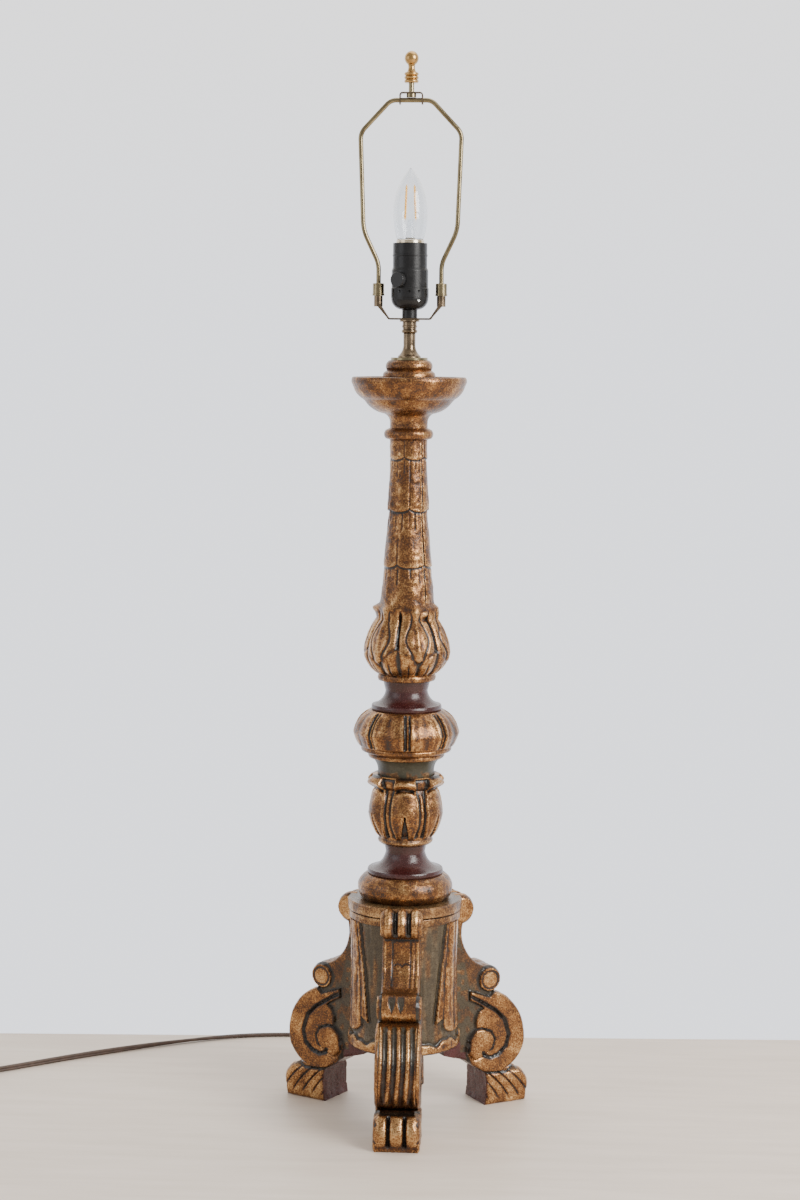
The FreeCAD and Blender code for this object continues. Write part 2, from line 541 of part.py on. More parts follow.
# ---------------------------------------------------------------- turned and carved stem
def make_stem():
    section("base_torus", "cap_top_z", "torus_top_z", [
        ("torus_foot_r", "cap_top_z"),
        ("torus_top_r", "torus_top_z", "torus_r", "torus_mid_z")])
    section("lower_neck", "torus_top_z", "low_top_z", [
        ("low_collar_r", "torus_top_z"), ("low_collar_r", "low_collar_z"),
        ("low_waist_r", "low_waist_z", "low_flare_r", "low_flare_z"),
        ("low_top_r", "low_top_z")])
    cup = turned("leaf_cup", [
        ("bore_r", "low_top_z - tenon_long"), ("tenon_r", "low_top_z - tenon_long"),
        ("tenon_r", "low_top_z"), ("low_top_r", "low_top_z"),
        ("cup_bead_r", "cup_bead_top_z", "cup_bead_r", "cup_bead_z"),
        ("cup_wide_r", "cup_wide_z", "cup_low_r", "cup_low_z"),
        ("cup_waist_r", "cup_waist_z", "cup_turn_r", "cup_turn_z"),
        ("cup_top_r", "cup_top_z", "cup_tip_r", "cup_tip_z"), ("cup_mouth_r", "cup_top_z"),
        ("cup_mouth_r", "cup_seat_z"), ("mortise_r", "cup_seat_z"),
        ("mortise_r", "cup_seat_z - mortise_deep"), ("bore_r", "cup_seat_z - mortise_deep")])
    flutes(cup, "cup_flute", "cup_flute_r", "cup_flute_at", CUP_PETALS, "cup_waist_z")
    section("green_cove", "cup_seat_z", "cove_top_z", [
        ("cove_foot_r", "cup_seat_z"), ("cove_turn_r", "cove_turn_z"),
        ("cove_top_r", "cove_top_z", "cove_mid_r", "cove_mid_z")])
    knop = section("lobed_knop", "cove_top_z", "knop_top_z", [
        ("knop_rim_r", "cove_top_z"), ("knop_rim_r", "knop_rim_z"),
        ("knop_band_r", "knop_band_z"), ("knop_band_r", "knop_step_z"),
        ("knop_r", "knop_mid_z", "knop_low_r", "knop_low_z"),
        ("knop_top_r", "knop_top_z", "knop_high_r", "knop_high_z")])
    flutes(knop, "knop_flute", "knop_flute_r", "knop_flute_at", KNOP_LOBES, "knop_top_z")
    section("upper_neck", "knop_top_z", "neck_top_z", [
        ("neck_collar_r", "knop_top_z"), ("neck_collar_r", "neck_collar_z"),
        ("neck_waist_r", "neck_waist_z", "neck_flare_r", "neck_flare_z"),
        ("neck_top_r", "neck_top_z")])
    shaft = section("leaf_shaft", "neck_top_z", "shaft_top_z", [
        ("shaft_fillet_r", "neck_top_z"), ("shaft_fillet_r", "shaft_fillet_z"),
        ("shaft_bulb_r", "shaft_bulb_z", "shaft_low_r", "shaft_low_z"),
        ("shaft_neck_r", "shaft_neck_z", "shaft_high_r", "shaft_high_z"),
        ("leaf_tip_r", "leaf_tip_z"), ("tier_one_r", "tier_one_z"),
        ("tier_two_r - tier_step", "tier_two_z"), ("tier_two_r", "tier_two_z"),
        ("tier_three_r - tier_step", "tier_three_z"), ("tier_three_r", "tier_three_z"),
        ("tier_four_r - tier_step", "tier_four_z"), ("tier_four_r", "tier_four_z"),
        ("shaft_top_r", "shaft_top_z")])
    flutes(shaft, "bulb_flute", "bulb_flute_r", "bulb_flute_at", SHAFT_FLUTES, "shaft_top_z")
    turned("drip_pan", [
        ("bore_r", "shaft_top_z - tenon_long"), ("tenon_r", "shaft_top_z - tenon_long"),
        ("tenon_r", "shaft_top_z"), ("shaft_top_r", "shaft_top_z"),
        ("astragal_r", "astragal_low_z"), ("astragal_r", "astragal_top_z"),
        ("pan_neck_r", "pan_neck_z"), ("pan_neck_r", "pan_neck_top_z"),
        ("pan_cove_r", "pan_cove_z", "pan_cove_mid_r", "pan_cove_mid_z"),
        ("pan_tier_r", "pan_tier_z", "pan_tier_mid_r", "pan_tier_mid_z"),
        ("pan_step_r", "pan_step_z"),
        ("pan_wall_r", "pan_wall_z", "pan_wall_mid_r", "pan_wall_mid_z"),
        ("pan_rim_r", "pan_rim_low_z"), ("pan_rim_r", "pan_rim_z"), ("pan_lip_r", "pan_rim_z"),
        ("pan_dish_r", "pan_dish_z", "pan_dish_mid_r", "pan_dish_mid_z"),
        ("mortise_r", "pan_dish_z"), ("mortise_r", "pan_dish_z - mortise_deep"),
        ("bore_r", "pan_dish_z - mortise_deep")])
    turned("pan_dome", [
        ("bore_r", "pan_dish_z - tenon_long"), ("tenon_r", "pan_dish_z - tenon_long"),
        ("tenon_r", "pan_dish_z"), ("dome_r", "pan_dish_z"), ("dome_r", "dome_bead_z"),
        ("dome_groove_r", "dome_groove_z"),
        ("dome_top_r", "dome_top_z", "dome_high_r", "dome_high_z"), ("bore_r", "dome_top_z")])


# ---------------------------------------------------------------- metal of the lamp fitting
def ring_steps(inner, outer, low, high):
    """Outline of a plain ring."""
    return [(inner, low), (outer, low), (outer, high), (inner, high)]


def make_pipe():
    turned("lamp_pipe", ring_steps("pipe_bore_r", "pipe_r", "pipe_foot_z", "pipe_top_z"))
    turned("pipe_washer", ring_steps("metal_bore_r", "washer_r", "washer_low_z", "cavity_z"))
    prism = doc.addObject("Part::Prism", "nut_hexagon")
    prism.Polygon = 6
    prism.setExpression("Circumradius", formula("nut_across") + " / 2 / cos(30)")
    prism.setExpression("Height", formula("washer_low_z - nut_low_z"))
    bore = doc.addObject("Part::Cylinder", "nut_bore")
    bore.setExpression("Radius", formula("metal_bore_r"))
    bore.setExpression("Height", formula("washer_low_z - nut_low_z"))
    nut = doc.addObject("Part::Cut", "pipe_nut")
    nut.Base = prism
    nut.Tool = bore
    place(nut, z="nut_low_z")
    keep(nut, "pipe_nut")


def make_head_metal():
    turned("check_ring", ring_steps("metal_bore_r", "ring_r", "dome_top_z", "ring_top_z"))
    turned("brass_neck", [
        ("metal_bore_r", "ring_top_z"), ("neck_flange_r", "ring_top_z"),
        ("neck_flange_r", "neck_flange_z"),
        ("neck_tube_r", "neck_tube_z", "neck_bell_r", "neck_bell_z"),
        ("neck_tube_r", "neck_head_z"), ("metal_bore_r", "neck_head_z")])
    turned("neck_collar", [
        ("metal_bore_r", "neck_head_z"), ("collar_r", "neck_head_z"),
        ("collar_r", "collar_step_z", "collar_bead_r", "collar_bead_z"),
        ("collar_ring_r", "collar_ring_z"), ("collar_r", "collar_top_z"),
        ("metal_bore_r", "collar_top_z")])
    turned("saddle_washer", ring_steps("metal_bore_r", "seat_r", "collar_top_z", "seat_top_z"))


def make_saddle():
    saddle = body("harp_saddle")
    strap = sketch_on(saddle, "strap_outline", "XZ_Plane")
    lower = [("saddle_half", "seat_top_z"), ("post_at + arm_skew", "saddle_bend_z")]
    upper = [("post_at - arm_skew", "saddle_bend_z"),
             ("saddle_half - arm_skew", "seat_top_z + saddle_thick")]
    right = lower + upper
    left = [(opposite(x), z) for x, z in reversed(right)]
    outline(strap, right + left)
    pad(saddle, "strap", strap, "saddle_deep")
    posts = sketch_on(saddle, "post_outline", "XY_Plane", "post_low_z")
    circle(posts, "post_at", "0", "post_r")
    circle(posts, opposite("post_at"), "0", "post_r")
    pad(saddle, "posts", posts, "post_top_z - post_low_z", both=False)
    pins = sketch_on(saddle, "pin_outline", "XY_Plane", "post_low_z")
    circle(pins, "post_at", "0", "pin_r")
    circle(pins, opposite("post_at"), "0", "pin_r")
    pad(saddle, "pins", pins, "pin_top_z - post_low_z", both=False)
    hole = sketch_on(saddle, "pipe_hole_outline", "XY_Plane")
    circle(hole, "0", "0", "metal_bore_r")
    cut_through(saddle, "pipe_hole", hole, "pin_top_z")


def make_ferrules():
    for label, side in (("ferrule_left", opposite("post_at")), ("ferrule_right", "post_at")):
        turned(label, [
            ("ferrule_bore_r", "ferrule_low_z"), ("ferrule_foot_r", "ferrule_low_z"),
            ("ferrule_foot_r", "ferrule_foot_top_z"), ("ferrule_r", "ferrule_foot_top_z"),
            ("ferrule_r", "ferrule_top_z"), ("ferrule_wire_r", "ferrule_top_z"),
            ("ferrule_wire_r", "ferrule_seat_z"), ("ferrule_bore_r", "ferrule_seat_z")],
            x=side)


def make_harp():
    corners = [("post_at", "wire_foot_z"), ("post_at", "wire_knee_z"),
               ("wire_side", "wire_side_z"), ("wire_shoulder", "wire_shoulder_z"),
               ("wire_top", "wire_top_z")]
    right = [FreeCAD.Vector(value(x), 0, value(z)) for x, z in corners]
    left = [FreeCAD.Vector(-spot.x, 0, spot.z) for spot in reversed(right)]
    bends = [value(bend) for bend in ("knee_bend", "side_bend", "shoulder_bend", "top_bend")]
    tube("harp_wire", right + left, bends + bends[::-1], value("wire_r"))

    bracket = body("harp_bracket")
    strap = sketch_on(bracket, "bracket_outline", "XZ_Plane")
    inner = "bracket_half - bracket_thick"
    under = "bracket_top_z - bracket_thick"
    outline(strap, [
        ("bracket_half", "bracket_foot_z"), ("bracket_half", "bracket_top_z"),
        (opposite("bracket_half"), "bracket_top_z"),
        (opposite("bracket_half"), "bracket_foot_z"), (opposite(inner), "bracket_foot_z"),
        (opposite(inner), under), (inner, under), (inner, "bracket_foot_z")])
    pad(bracket, "bracket_strap", strap, "bracket_deep")
    wire_hole = sketch_on(bracket, "wire_hole_outline", "YZ_Plane")
    circle(wire_hole, "0", "wire_top_z", "wire_hole_r")
    cut_through(bracket, "wire_hole", wire_hole, "bracket_half")
    stud_hole = sketch_on(bracket, "stud_hole_outline", "XY_Plane")
    circle(stud_hole, "0", "0", "stud_hole_r")
    cut_through(bracket, "stud_hole", stud_hole, "bracket_top_z")

    turned("shade_stud", [
        ("0", "stud_low_z"), ("stud_flange_r", "stud_low_z"),
        ("stud_flange_r", "stud_flange_z"), ("stud_r", "stud_flange_z"),
        ("stud_r", "stud_top_z"), ("0", "stud_top_z")])
    turned("finial", [
        ("finial_bore_r", "finial_low_z"), ("finial_ring_r", "finial_low_z"),
        ("finial_ring_r", "finial_ring_one_z"), ("finial_groove_r", "finial_gap_one_z"),
        ("finial_ring_r", "finial_ring_two_z"), ("finial_groove_r", "finial_gap_two_z"),
        ("finial_ring_r", "finial_ring_z"), ("finial_foot_r", "finial_foot_z"),
        ("finial_ball_foot_r", "finial_ball_foot_z", "finial_waist_r", "finial_waist_z"),
        ("tip_flat_r", "finial_top_z", "finial_ball_r", "finial_ball_z"),
        ("0", "finial_top_z"), ("0", "finial_bore_z"),
        ("finial_bore_r", "finial_bore_z")])


# ---------------------------------------------------------------- socket, switch and bulb
def side_hole(host, name, radius, height, reach):
    """A round hole through one wall, along the body's own X axis."""
    sketch = sketch_on(host, name + "_outline", "YZ_Plane")
    circle(sketch, "0", height, radius)
    return cut_out_along(host, name, sketch, reach)


def make_socket():
    cap = turned("socket_cap", [
        ("metal_bore_r", "hub_low_z"), ("hub_r", "hub_low_z"), ("hub_r", "hub_top_z"),
        ("socket_r", "socket_low_z", "cap_round_r", "cap_round_z"),
        ("cap_wall_r", "socket_low_z"),
        ("cap_floor_r", "cap_floor_z", "cap_inner_r", "cap_inner_z"),
        ("metal_bore_r", "cap_floor_z")], azimuth=GRUB_AZIMUTH)
    side_hole(cap, "grub_hole", "grub_hole_r", "grub_z", "band_r")
    shell = turned("socket_body", [
        ("body_inner_r", "socket_low_z"), ("band_r", "socket_low_z"), ("band_r", "band_top_z"),
        ("body_r", "band_top_z"), ("body_r", "body_top_z"), ("body_end_r", "body_end_z"),
        ("body_inner_r", "body_end_z")], azimuth=SWITCH_AZIMUTH)
    side_hole(shell, "switch_hole", "key_hole_r", "key_z", "band_r")
    vent = side_hole(shell, "vent", "vent_r", "vent_z", "band_r")
    around(shell, "vent_ring", vent, VENTS)
    turned("socket_sleeve", [
        ("sleeve_inner_r", "body_end_z"), ("sleeve_r", "body_end_z"),
        ("sleeve_r", "sleeve_ring_low_z"), ("sleeve_ring_r", "sleeve_ring_low_z"),
        ("sleeve_ring_r", "sleeve_ring_top_z"), ("sleeve_r", "sleeve_ring_top_z"),
        ("sleeve_r", "sleeve_top_z"), ("sleeve_inner_r", "sleeve_top_z")])
    turned("switch_block", [("0", "block_low_z"), ("block_r", "block_low_z"),
                            ("block_r", "block_top_z"), ("0", "block_top_z")])
    turned("socket_insulator", [("0", "block_top_z"), ("disc_r", "block_top_z"),
                                ("disc_r", "disc_top_z"), ("0", "disc_top_z")])
    turned("screw_shell", [
        ("shell_hole_r", "shell_low_z"), ("shell_out_r", "shell_low_z"),
        ("shell_out_r", "shell_top_z"), ("shell_in_r", "shell_top_z"),
        ("shell_in_r", "shell_floor_z"), ("shell_hole_r", "shell_floor_z")])
    turned("centre_contact", [("0", "disc_top_z"), ("contact_r", "disc_top_z"),
                              ("contact_r", "contact_top_z"), ("0", "contact_top_z")])
    sides = (SWITCH_AZIMUTH + 90, SWITCH_AZIMUTH + 270)
    group("terminal_screws", [
        cylinder(f"terminal_{number}", "terminal_r", "terminal_long",
                 polar(value("terminal_in"), side, value("terminal_z")), polar(1, side))
        for number, side in enumerate(sides)])
    grub = cylinder("grub", "grub_r", "grub_out - grub_in",
                    polar(value("grub_in"), GRUB_AZIMUTH, value("grub_z")),
                    polar(1, GRUB_AZIMUTH))
    group("set_screw", [grub])


def along_switch(label, steps):
    """A piece turned about the switch's axis: heights in steps are distances from the stem."""
    piece = turned(label, steps, z="key_z")
    axis = FreeCAD.Rotation(FreeCAD.Vector(0, 0, 1), polar(1, SWITCH_AZIMUTH))
    piece.Placement.Rotation = axis
    return piece


def make_switch():
    along_switch("switch_shaft", [("0", "key_in"), ("key_r", "key_in"), ("key_r", "key_out"),
                                  ("0", "key_out")])
    along_switch("switch_knob", [
        ("knob_bore_r", "knob_in"), ("knob_r", "knob_in"), ("knob_r", "knob_out"),
        ("0", "knob_out"), ("0", "knob_bore_end"), ("knob_bore_r", "knob_bore_end")])


def make_bulb():
    turned("bulb_contact", [
        ("0", "bulb_contact_z"), ("bulb_contact_r", "bulb_contact_z"),
        ("bulb_contact_r", "bulb_glaze_z"), ("0", "bulb_glaze_z")])
    turned("bulb_insulator", [
        ("0", "bulb_glaze_z"), ("bulb_contact_r", "bulb_glaze_z"),
        ("bulb_glaze_r", "base_low_z"), ("0", "base_low_z")])
    turned("bulb_base", [
        ("0", "base_low_z"), ("base_r", "base_low_z"), ("base_r", "base_rim_low_z"),
        ("base_rim_r", "base_rim_low_z"), ("base_rim_r", "base_rim_z"),
        ("base_inner_r", "base_rim_z"), ("base_inner_r", "base_low_z + glass_wall"),
        ("0", "base_low_z + glass_wall")])
    turned("bulb_glass", [
        ("glass_neck_r - glass_wall", "glass_foot_z"), ("glass_neck_r", "glass_foot_z"),
        ("glass_neck_r", "glass_turn_z"), ("glass_low_r", "glass_turn_z"),
        ("glass_r", "glass_mid_z", "glass_swell_r", "glass_swell_z"),
        ("glass_tip_r", "glass_tip_z", "glass_high_r", "glass_high_z"),
        ("tip_flat_r", "glass_top_z", "glass_point_r", "glass_point_z"),
        ("0", "glass_top_z"), ("0", "glass_end_z"), ("tip_flat_r", "glass_end_z"),
        ("glass_tip_r - glass_wall", "glass_tip_z"),
        ("glass_r - glass_wall", "glass_mid_z", "glass_high_r - glass_wall", "glass_high_z"),
        ("glass_neck_r - glass_wall", "glass_turn_z", "glass_swell_r - glass_wall",
         "glass_swell_z")])
    turned("bulb_stem", [
        ("0", "stem_low_z"), ("stem_flange_r", "stem_low_z"),
        ("stem_flange_r", "stem_flange_z"), ("stem_mid_r", "stem_mid_z"),
        ("stem_top_r", "stem_top_z"), ("0", "stem_top_z")])
    threads = []
    for side in (-1, 1):
        for depth in (-1, 1):
            base = FreeCAD.Vector(side * value("thread_side"), depth * value("thread_deep"),
                                  value("thread_low_z"))
            lean = FreeCAD.Vector(-depth * value("thread_lean"), 0, value("thread_long"))
            threads.append(cylinder(f"thread_{len(threads)}", "thread_r", "thread_long",
                                    base, lean))
    group("bulb_filaments", threads)


# ---------------------------------------------------------------- cord, coil and plug
def make_lead():
    bend = value("lead_bend")
    top = FreeCAD.Vector(0, 0, value("lead_top_z"))
    corner = FreeCAD.Vector(0, 0, value("exit_z"))
    end = FreeCAD.Vector(0, value("bushing_end"), value("exit_z"))
    tube("inner_lead", [top, corner, end], [bend], value("lead_r"))


def make_bushing():
    bushing = turned("cord_bushing", [
        ("bushing_bore_r", "bushing_in"), ("bushing_body_r", "bushing_in"),
        ("bushing_body_r", "bushing_face"), ("bushing_flange_r", "bushing_face"),
        ("bushing_flange_r", "bushing_flange"), ("bushing_cone_r", "bushing_flange"),
        ("bushing_tip_r", "bushing_end"), ("bushing_bore_r", "bushing_end")], z="exit_z")
    bushing.Placement.Rotation = FreeCAD.Rotation(FreeCAD.Vector(0, 0, 1),
                                                  FreeCAD.Vector(0, 1, 0))


def make_cord():
    for label, route in (("cord_run", CORD_ROUTE), ("cord_tail", TAIL_ROUTE)):
        points = [FreeCAD.Vector(*spot) for spot in route]
        tube(label, points, largest_radii(points), value("cord_r"))
    turned("cord_coil", [
        ("coil_in_r", "coil_low_z + coil_edge"), ("coil_in_r + coil_edge", "coil_low_z"),
        ("coil_out_r - coil_edge", "coil_low_z"), ("coil_out_r", "coil_low_z + coil_edge"),
        ("coil_out_r", "coil_top_z - coil_edge"), ("coil_out_r - coil_edge", "coil_top_z"),
        ("coil_in_r + coil_edge", "coil_top_z"), ("coil_in_r", "coil_top_z - coil_edge")],
        x="coil_x", y="stem_y + coil_y")
    tie = body("cord_tie", x="coil_x", y="stem_y + coil_y", azimuth=TIE_AZIMUTH)
    band = sketch_on(tie, "tie_outline", "XZ_Plane")
    reach = "tie_gap + tie_thick"
    outline(band, [
        ("coil_in_r - tie_gap - tie_thick", "floor_z"),
        ("coil_out_r + " + reach, "floor_z"), ("coil_out_r + " + reach, "coil_top_z + " + reach),
        ("coil_in_r - tie_gap - tie_thick", "coil_top_z + " + reach)])
    pad(tie, "tie_band", band, "tie_w")
    hollow = sketch_on(tie, "tie_hollow_outline", "XZ_Plane")
    outline(hollow, [
        ("coil_in_r - tie_gap", "coil_low_z - tie_gap"),
        ("coil_out_r + tie_gap", "coil_low_z - tie_gap"),
        ("coil_out_r + tie_gap", "coil_top_z + tie_gap"),
        ("coil_in_r - tie_gap", "coil_top_z + tie_gap")])
    cut_through(tie, "tie_hollow", hollow, "tie_w")


def make_plug():
    plug = body("plug_body", x="plug_x", y="stem_y + plug_y", z="plug_z",
                azimuth=PLUG_AZIMUTH)
    sleeve = sketch_on(plug, "plug_sleeve_outline", "YZ_Plane")
    circle(sleeve, "0", "0", "plug_sleeve_r")
    pad(plug, "plug_neck", sleeve, "plug_sleeve + plug_edge", both=False)
    block = sketch_on(plug, "plug_block_outline", "YZ_Plane", "plug_sleeve")
    outline(block, [
        (opposite("plug_half_w"), opposite("plug_half_high")),
        ("plug_half_w", opposite("plug_half_high")), ("plug_half_w", "plug_half_high"),
        (opposite("plug_half_w"), "plug_half_high")])
    moulding = pad(plug, "plug_block", block, "plug_long", both=False)
    doc.recompute()
    rounding = plug.newObject("PartDesign::Fillet", "plug_rounding")
    upright = [f"Edge{number}" for number, edge in enumerate(moulding.Shape.Edges, start=1)
               if abs(edge.Length - 2 * value("plug_half_high")) < 0.01]
    rounding.Base = (moulding, upright)
    rounding.setExpression("Radius", formula("plug_edge"))
    blades = []
    for side in (-1, 1):
        blade = doc.addObject("Part::Box", f"blade_{len(blades)}")
        blade.setExpression("Length", formula("blade_long"))
        blade.setExpression("Width", formula("blade_thick"))
        blade.setExpression("Height", formula("blade_high"))
        blade.Placement.Base = FreeCAD.Vector(
            value("plug_sleeve + plug_long"),
            side * value("blade_pitch") / 2 - value("blade_thick") / 2,
            -value("blade_high") / 2)
        blades.append(blade)
    group("plug_blades", blades, x="plug_x", y="stem_y + plug_y", z="plug_z",
          azimuth=PLUG_AZIMUTH)


def check_and_write():
    """Stop on any failed object or shape, then write one file for each sub-part."""
    doc.recompute()
    for item in doc.Objects:
        if "Invalid" in item.State or "Error" in item.State:
            raise RuntimeError(f"{item.Label} failed: {item.State}")
    for label, piece in made.items():
        if piece.Shape.isNull() or not piece.Shape.isValid() or piece.Shape.Volume <= 0:
            raise RuntimeError(label + " has no valid shape")
    os.makedirs("parts", exist_ok=True)
    for label, piece in made.items():
        piece.Shape.exportStep(f"parts/{label}.step")
    whole = FreeCAD.BoundBox()
    for label, piece in made.items():
        if not label.startswith(("cord_", "plug_")):
            whole.add(piece.Shape.optimalBoundingBox())
    print(len(made), "sub-parts written; box without the cord", whole)


make_plinth()
make_cap()
for leg_name, leg_azimuth in LEG_AZIMUTHS.items():
    make_leg(leg_name, leg_azimuth)
make_dowels()
make_stem()
make_pipe()
make_head_metal()
make_saddle()
make_ferrules()
make_harp()
make_socket()
make_switch()
make_bulb()
make_lead()
make_bushing()
make_cord()
make_plug()
check_and_write()
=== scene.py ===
import bpy
import json
import math
import numpy as np
from mathutils import Matrix, Vector
from mathutils.geometry import delaunay_2d_cdt


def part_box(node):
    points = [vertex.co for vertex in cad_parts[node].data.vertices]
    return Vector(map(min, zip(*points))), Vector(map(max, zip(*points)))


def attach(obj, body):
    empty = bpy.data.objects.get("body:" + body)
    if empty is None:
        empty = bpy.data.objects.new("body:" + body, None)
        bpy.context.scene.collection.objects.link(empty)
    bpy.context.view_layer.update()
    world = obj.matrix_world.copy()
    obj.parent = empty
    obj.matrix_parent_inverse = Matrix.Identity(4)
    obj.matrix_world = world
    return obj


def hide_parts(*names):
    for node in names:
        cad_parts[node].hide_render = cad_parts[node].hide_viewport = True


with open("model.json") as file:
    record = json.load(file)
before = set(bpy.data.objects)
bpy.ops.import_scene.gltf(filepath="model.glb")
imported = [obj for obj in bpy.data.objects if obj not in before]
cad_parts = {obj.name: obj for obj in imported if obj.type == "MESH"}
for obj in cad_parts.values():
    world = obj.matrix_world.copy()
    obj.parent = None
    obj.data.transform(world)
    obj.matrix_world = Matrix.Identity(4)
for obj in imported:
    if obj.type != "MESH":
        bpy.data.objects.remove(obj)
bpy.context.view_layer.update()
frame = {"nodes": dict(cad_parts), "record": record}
mm = 0.001
stemLow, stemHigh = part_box("lobed_knop")
stemX = (stemLow[0] + stemHigh[0]) / 2
stemY = (stemLow[1] + stemHigh[1]) / 2


def addObject(name, data):
    added = bpy.data.objects.new(name, data)
    bpy.context.scene.collection.objects.link(added)
    return added


# camera, floor and light
view = {"away": 2.5, "height": 0.8157, "azimuth": 3.0, "pitch": 6.07, "aside": 0.177,
        "roll": 0.44, "lens": 72.0, "floorBehind": 0.275, "floorAhead": 3.0, "floorHalf": 4.0}


def makeCamera():
    turn = math.radians(view["azimuth"])
    camera = addObject("camera", bpy.data.cameras.new("camera"))
    camera.data.lens = view["lens"]
    camera.data.sensor_width = 36.0
    place = Matrix.Translation((stemX + view["away"] * math.sin(turn),
                                stemY - view["away"] * math.cos(turn), view["height"]))
    yaw = Matrix.Rotation(turn + math.radians(view["aside"]), 4, "Z")
    pitch = Matrix.Rotation(math.radians(90 - view["pitch"]), 4, "X")
    roll = Matrix.Rotation(math.radians(view["roll"]), 4, "Z")
    camera.matrix_world = place @ yaw @ pitch @ roll
    bpy.context.scene.camera = camera


def makeStage():
    turn = math.radians(view["azimuth"])
    back = view["floorBehind"]
    corners = [(-view["floorHalf"], back), (-view["floorHalf"], -view["floorAhead"]),
               (view["floorHalf"], -view["floorAhead"]), (view["floorHalf"], back)]
    points = [(stemX + u * math.cos(turn) - v * math.sin(turn),
               stemY + u * math.sin(turn) + v * math.cos(turn), 0.0) for u, v in corners]
    floor = bpy.data.meshes.new("floor")
    floor.from_pydata(points, [], [(0, 1, 2, 3)])
    stage = addObject("floor", floor)
    stage.data.materials.append(floorFinish())


def makeLights():
    lamps = [  # name, place about the stem, size, power, colour
        ("windowLight", (1.9, -1.5, 1.7), (1.3, 1.5), 95.0, (1.0, 0.985, 0.96)),
        ("fillLight", (-2.2, -1.2, 1.3), (1.6, 1.6), 12.0, (0.92, 0.95, 1.0)),
        ("topLight", (0.3, 0.3, 2.6), (1.8, 1.4), 14.0, (1.0, 0.98, 0.95))]
    for name, place, size, power, colour in lamps:
        data = bpy.data.lights.new(name, "AREA")
        data.shape = "RECTANGLE"
        data.size, data.size_y = size
        data.energy = power
        data.color = colour
        lamp = addObject(name, data)
        lamp.location = (stemX + place[0], stemY + place[1], place[2])
        aim = Vector((stemX, stemY, 0.5)) - lamp.location
        lamp.rotation_euler = aim.to_track_quat("-Z", "Y").to_euler()
    world = bpy.data.worlds.new("room")
    world.use_nodes = True
    # the wall behind is bright, the room in front of the object is dim
    tree = world.node_tree
    sky = tree.nodes["Background"]
    apart = tree.nodes.new("ShaderNodeSeparateXYZ")
    tree.links.new(tree.nodes.new("ShaderNodeTexCoord").outputs["Generated"], apart.inputs[0])
    towards = ramp(tree, apart.outputs["Y"], [(0.0, 0.20), (0.45, 1.0)])
    rise = ramp(tree, apart.outputs["Z"], [(0.0, (0.87, 0.89, 0.95)), (0.25, (0.95, 0.93, 0.91))])
    tree.links.new(blendColour(tree, towards, (0.14, 0.135, 0.13), rise), sky.inputs["Color"])
    sky.inputs["Strength"].default_value = 2.0
    bpy.context.scene.world = world


# node helpers: each returns an output socket
def newMaterial(name, **fixed):
    material = bpy.data.materials.new(name)
    material.use_nodes = True
    shader = material.node_tree.nodes["Principled BSDF"]
    for socket, amount in fixed.items():
        shader.inputs[socket.replace("_", " ")].default_value = amount
    return material, material.node_tree, shader


def connect(tree, shader, **sources):
    for socket, source in sources.items():
        tree.links.new(source, shader.inputs[socket.replace("_", " ")])


def objectPlace(tree):
    return tree.nodes.new("ShaderNodeTexCoord").outputs["Object"]


def noise(tree, place, scale, detail=4.0, rough=0.55, stretch=None):
    if stretch:
        mapping = tree.nodes.new("ShaderNodeMapping")
        mapping.inputs["Scale"].default_value = stretch
        tree.links.new(place, mapping.inputs["Vector"])
        place = mapping.outputs["Vector"]
    node = tree.nodes.new("ShaderNodeTexNoise")
    node.inputs["Scale"].default_value = scale
    node.inputs["Detail"].default_value = detail
    node.inputs["Roughness"].default_value = rough
    tree.links.new(place, node.inputs["Vector"])
    return node.outputs["Fac"]


def ramp(tree, fac, stops):
    node = tree.nodes.new("ShaderNodeValToRGB")
    band = node.color_ramp
    while len(band.elements) < len(stops):
        band.elements.new(0.5)
    for element, (position, colour) in zip(band.elements, stops):
        element.position = position
        shade = colour if isinstance(colour, tuple) else (colour, colour, colour)
        element.color = (*shade, 1)
    tree.links.new(fac, node.inputs["Fac"])
    return node.outputs["Color"]


def sums(tree, operation, first, second, third=None):
    node = tree.nodes.new("ShaderNodeMath")
    node.operation = operation
    for socket, entry in zip(node.inputs, (first, second, third)):
        if entry is None:
            continue
        if isinstance(entry, (int, float)):
            socket.default_value = entry
        else:
            tree.links.new(entry, socket)
    return node.outputs["Value"]


def blendColour(tree, fac, first, second):
    node = tree.nodes.new("ShaderNodeMix")
    node.data_type = "RGBA"
    for socket, entry in ((node.inputs["Factor"], fac), (node.inputs[6], first),
                          (node.inputs[7], second)):
        if isinstance(entry, (int, float)):
            socket.default_value = entry
        elif isinstance(entry, tuple):
            socket.default_value = (*entry, 1)
        else:
            tree.links.new(entry, socket)
    return node.outputs[2]


def attribute(tree, name):
    node = tree.nodes.new("ShaderNodeAttribute")
    node.attribute_name = name
    return node.outputs["Fac"]


def bump(tree, shader, height, strength, distance):
    node = tree.nodes.new("ShaderNodeBump")
    node.inputs["Strength"].default_value = strength
    node.inputs["Distance"].default_value = distance
    tree.links.new(height, node.inputs["Height"])
    connect(tree, shader, Normal=node.outputs["Normal"])


def floorFinish():
    material, tree, shader = newMaterial("paleFloor", Roughness=0.5)
    grain = noise(tree, objectPlace(tree), 6.0, 5.0, 0.6, (1.0, 9.0, 1.0))
    colour = ramp(tree, grain, [(0.3, (0.655, 0.555, 0.460)), (0.7, (0.745, 0.645, 0.550))])
    connect(tree, shader, Base_Color=colour)
    return material


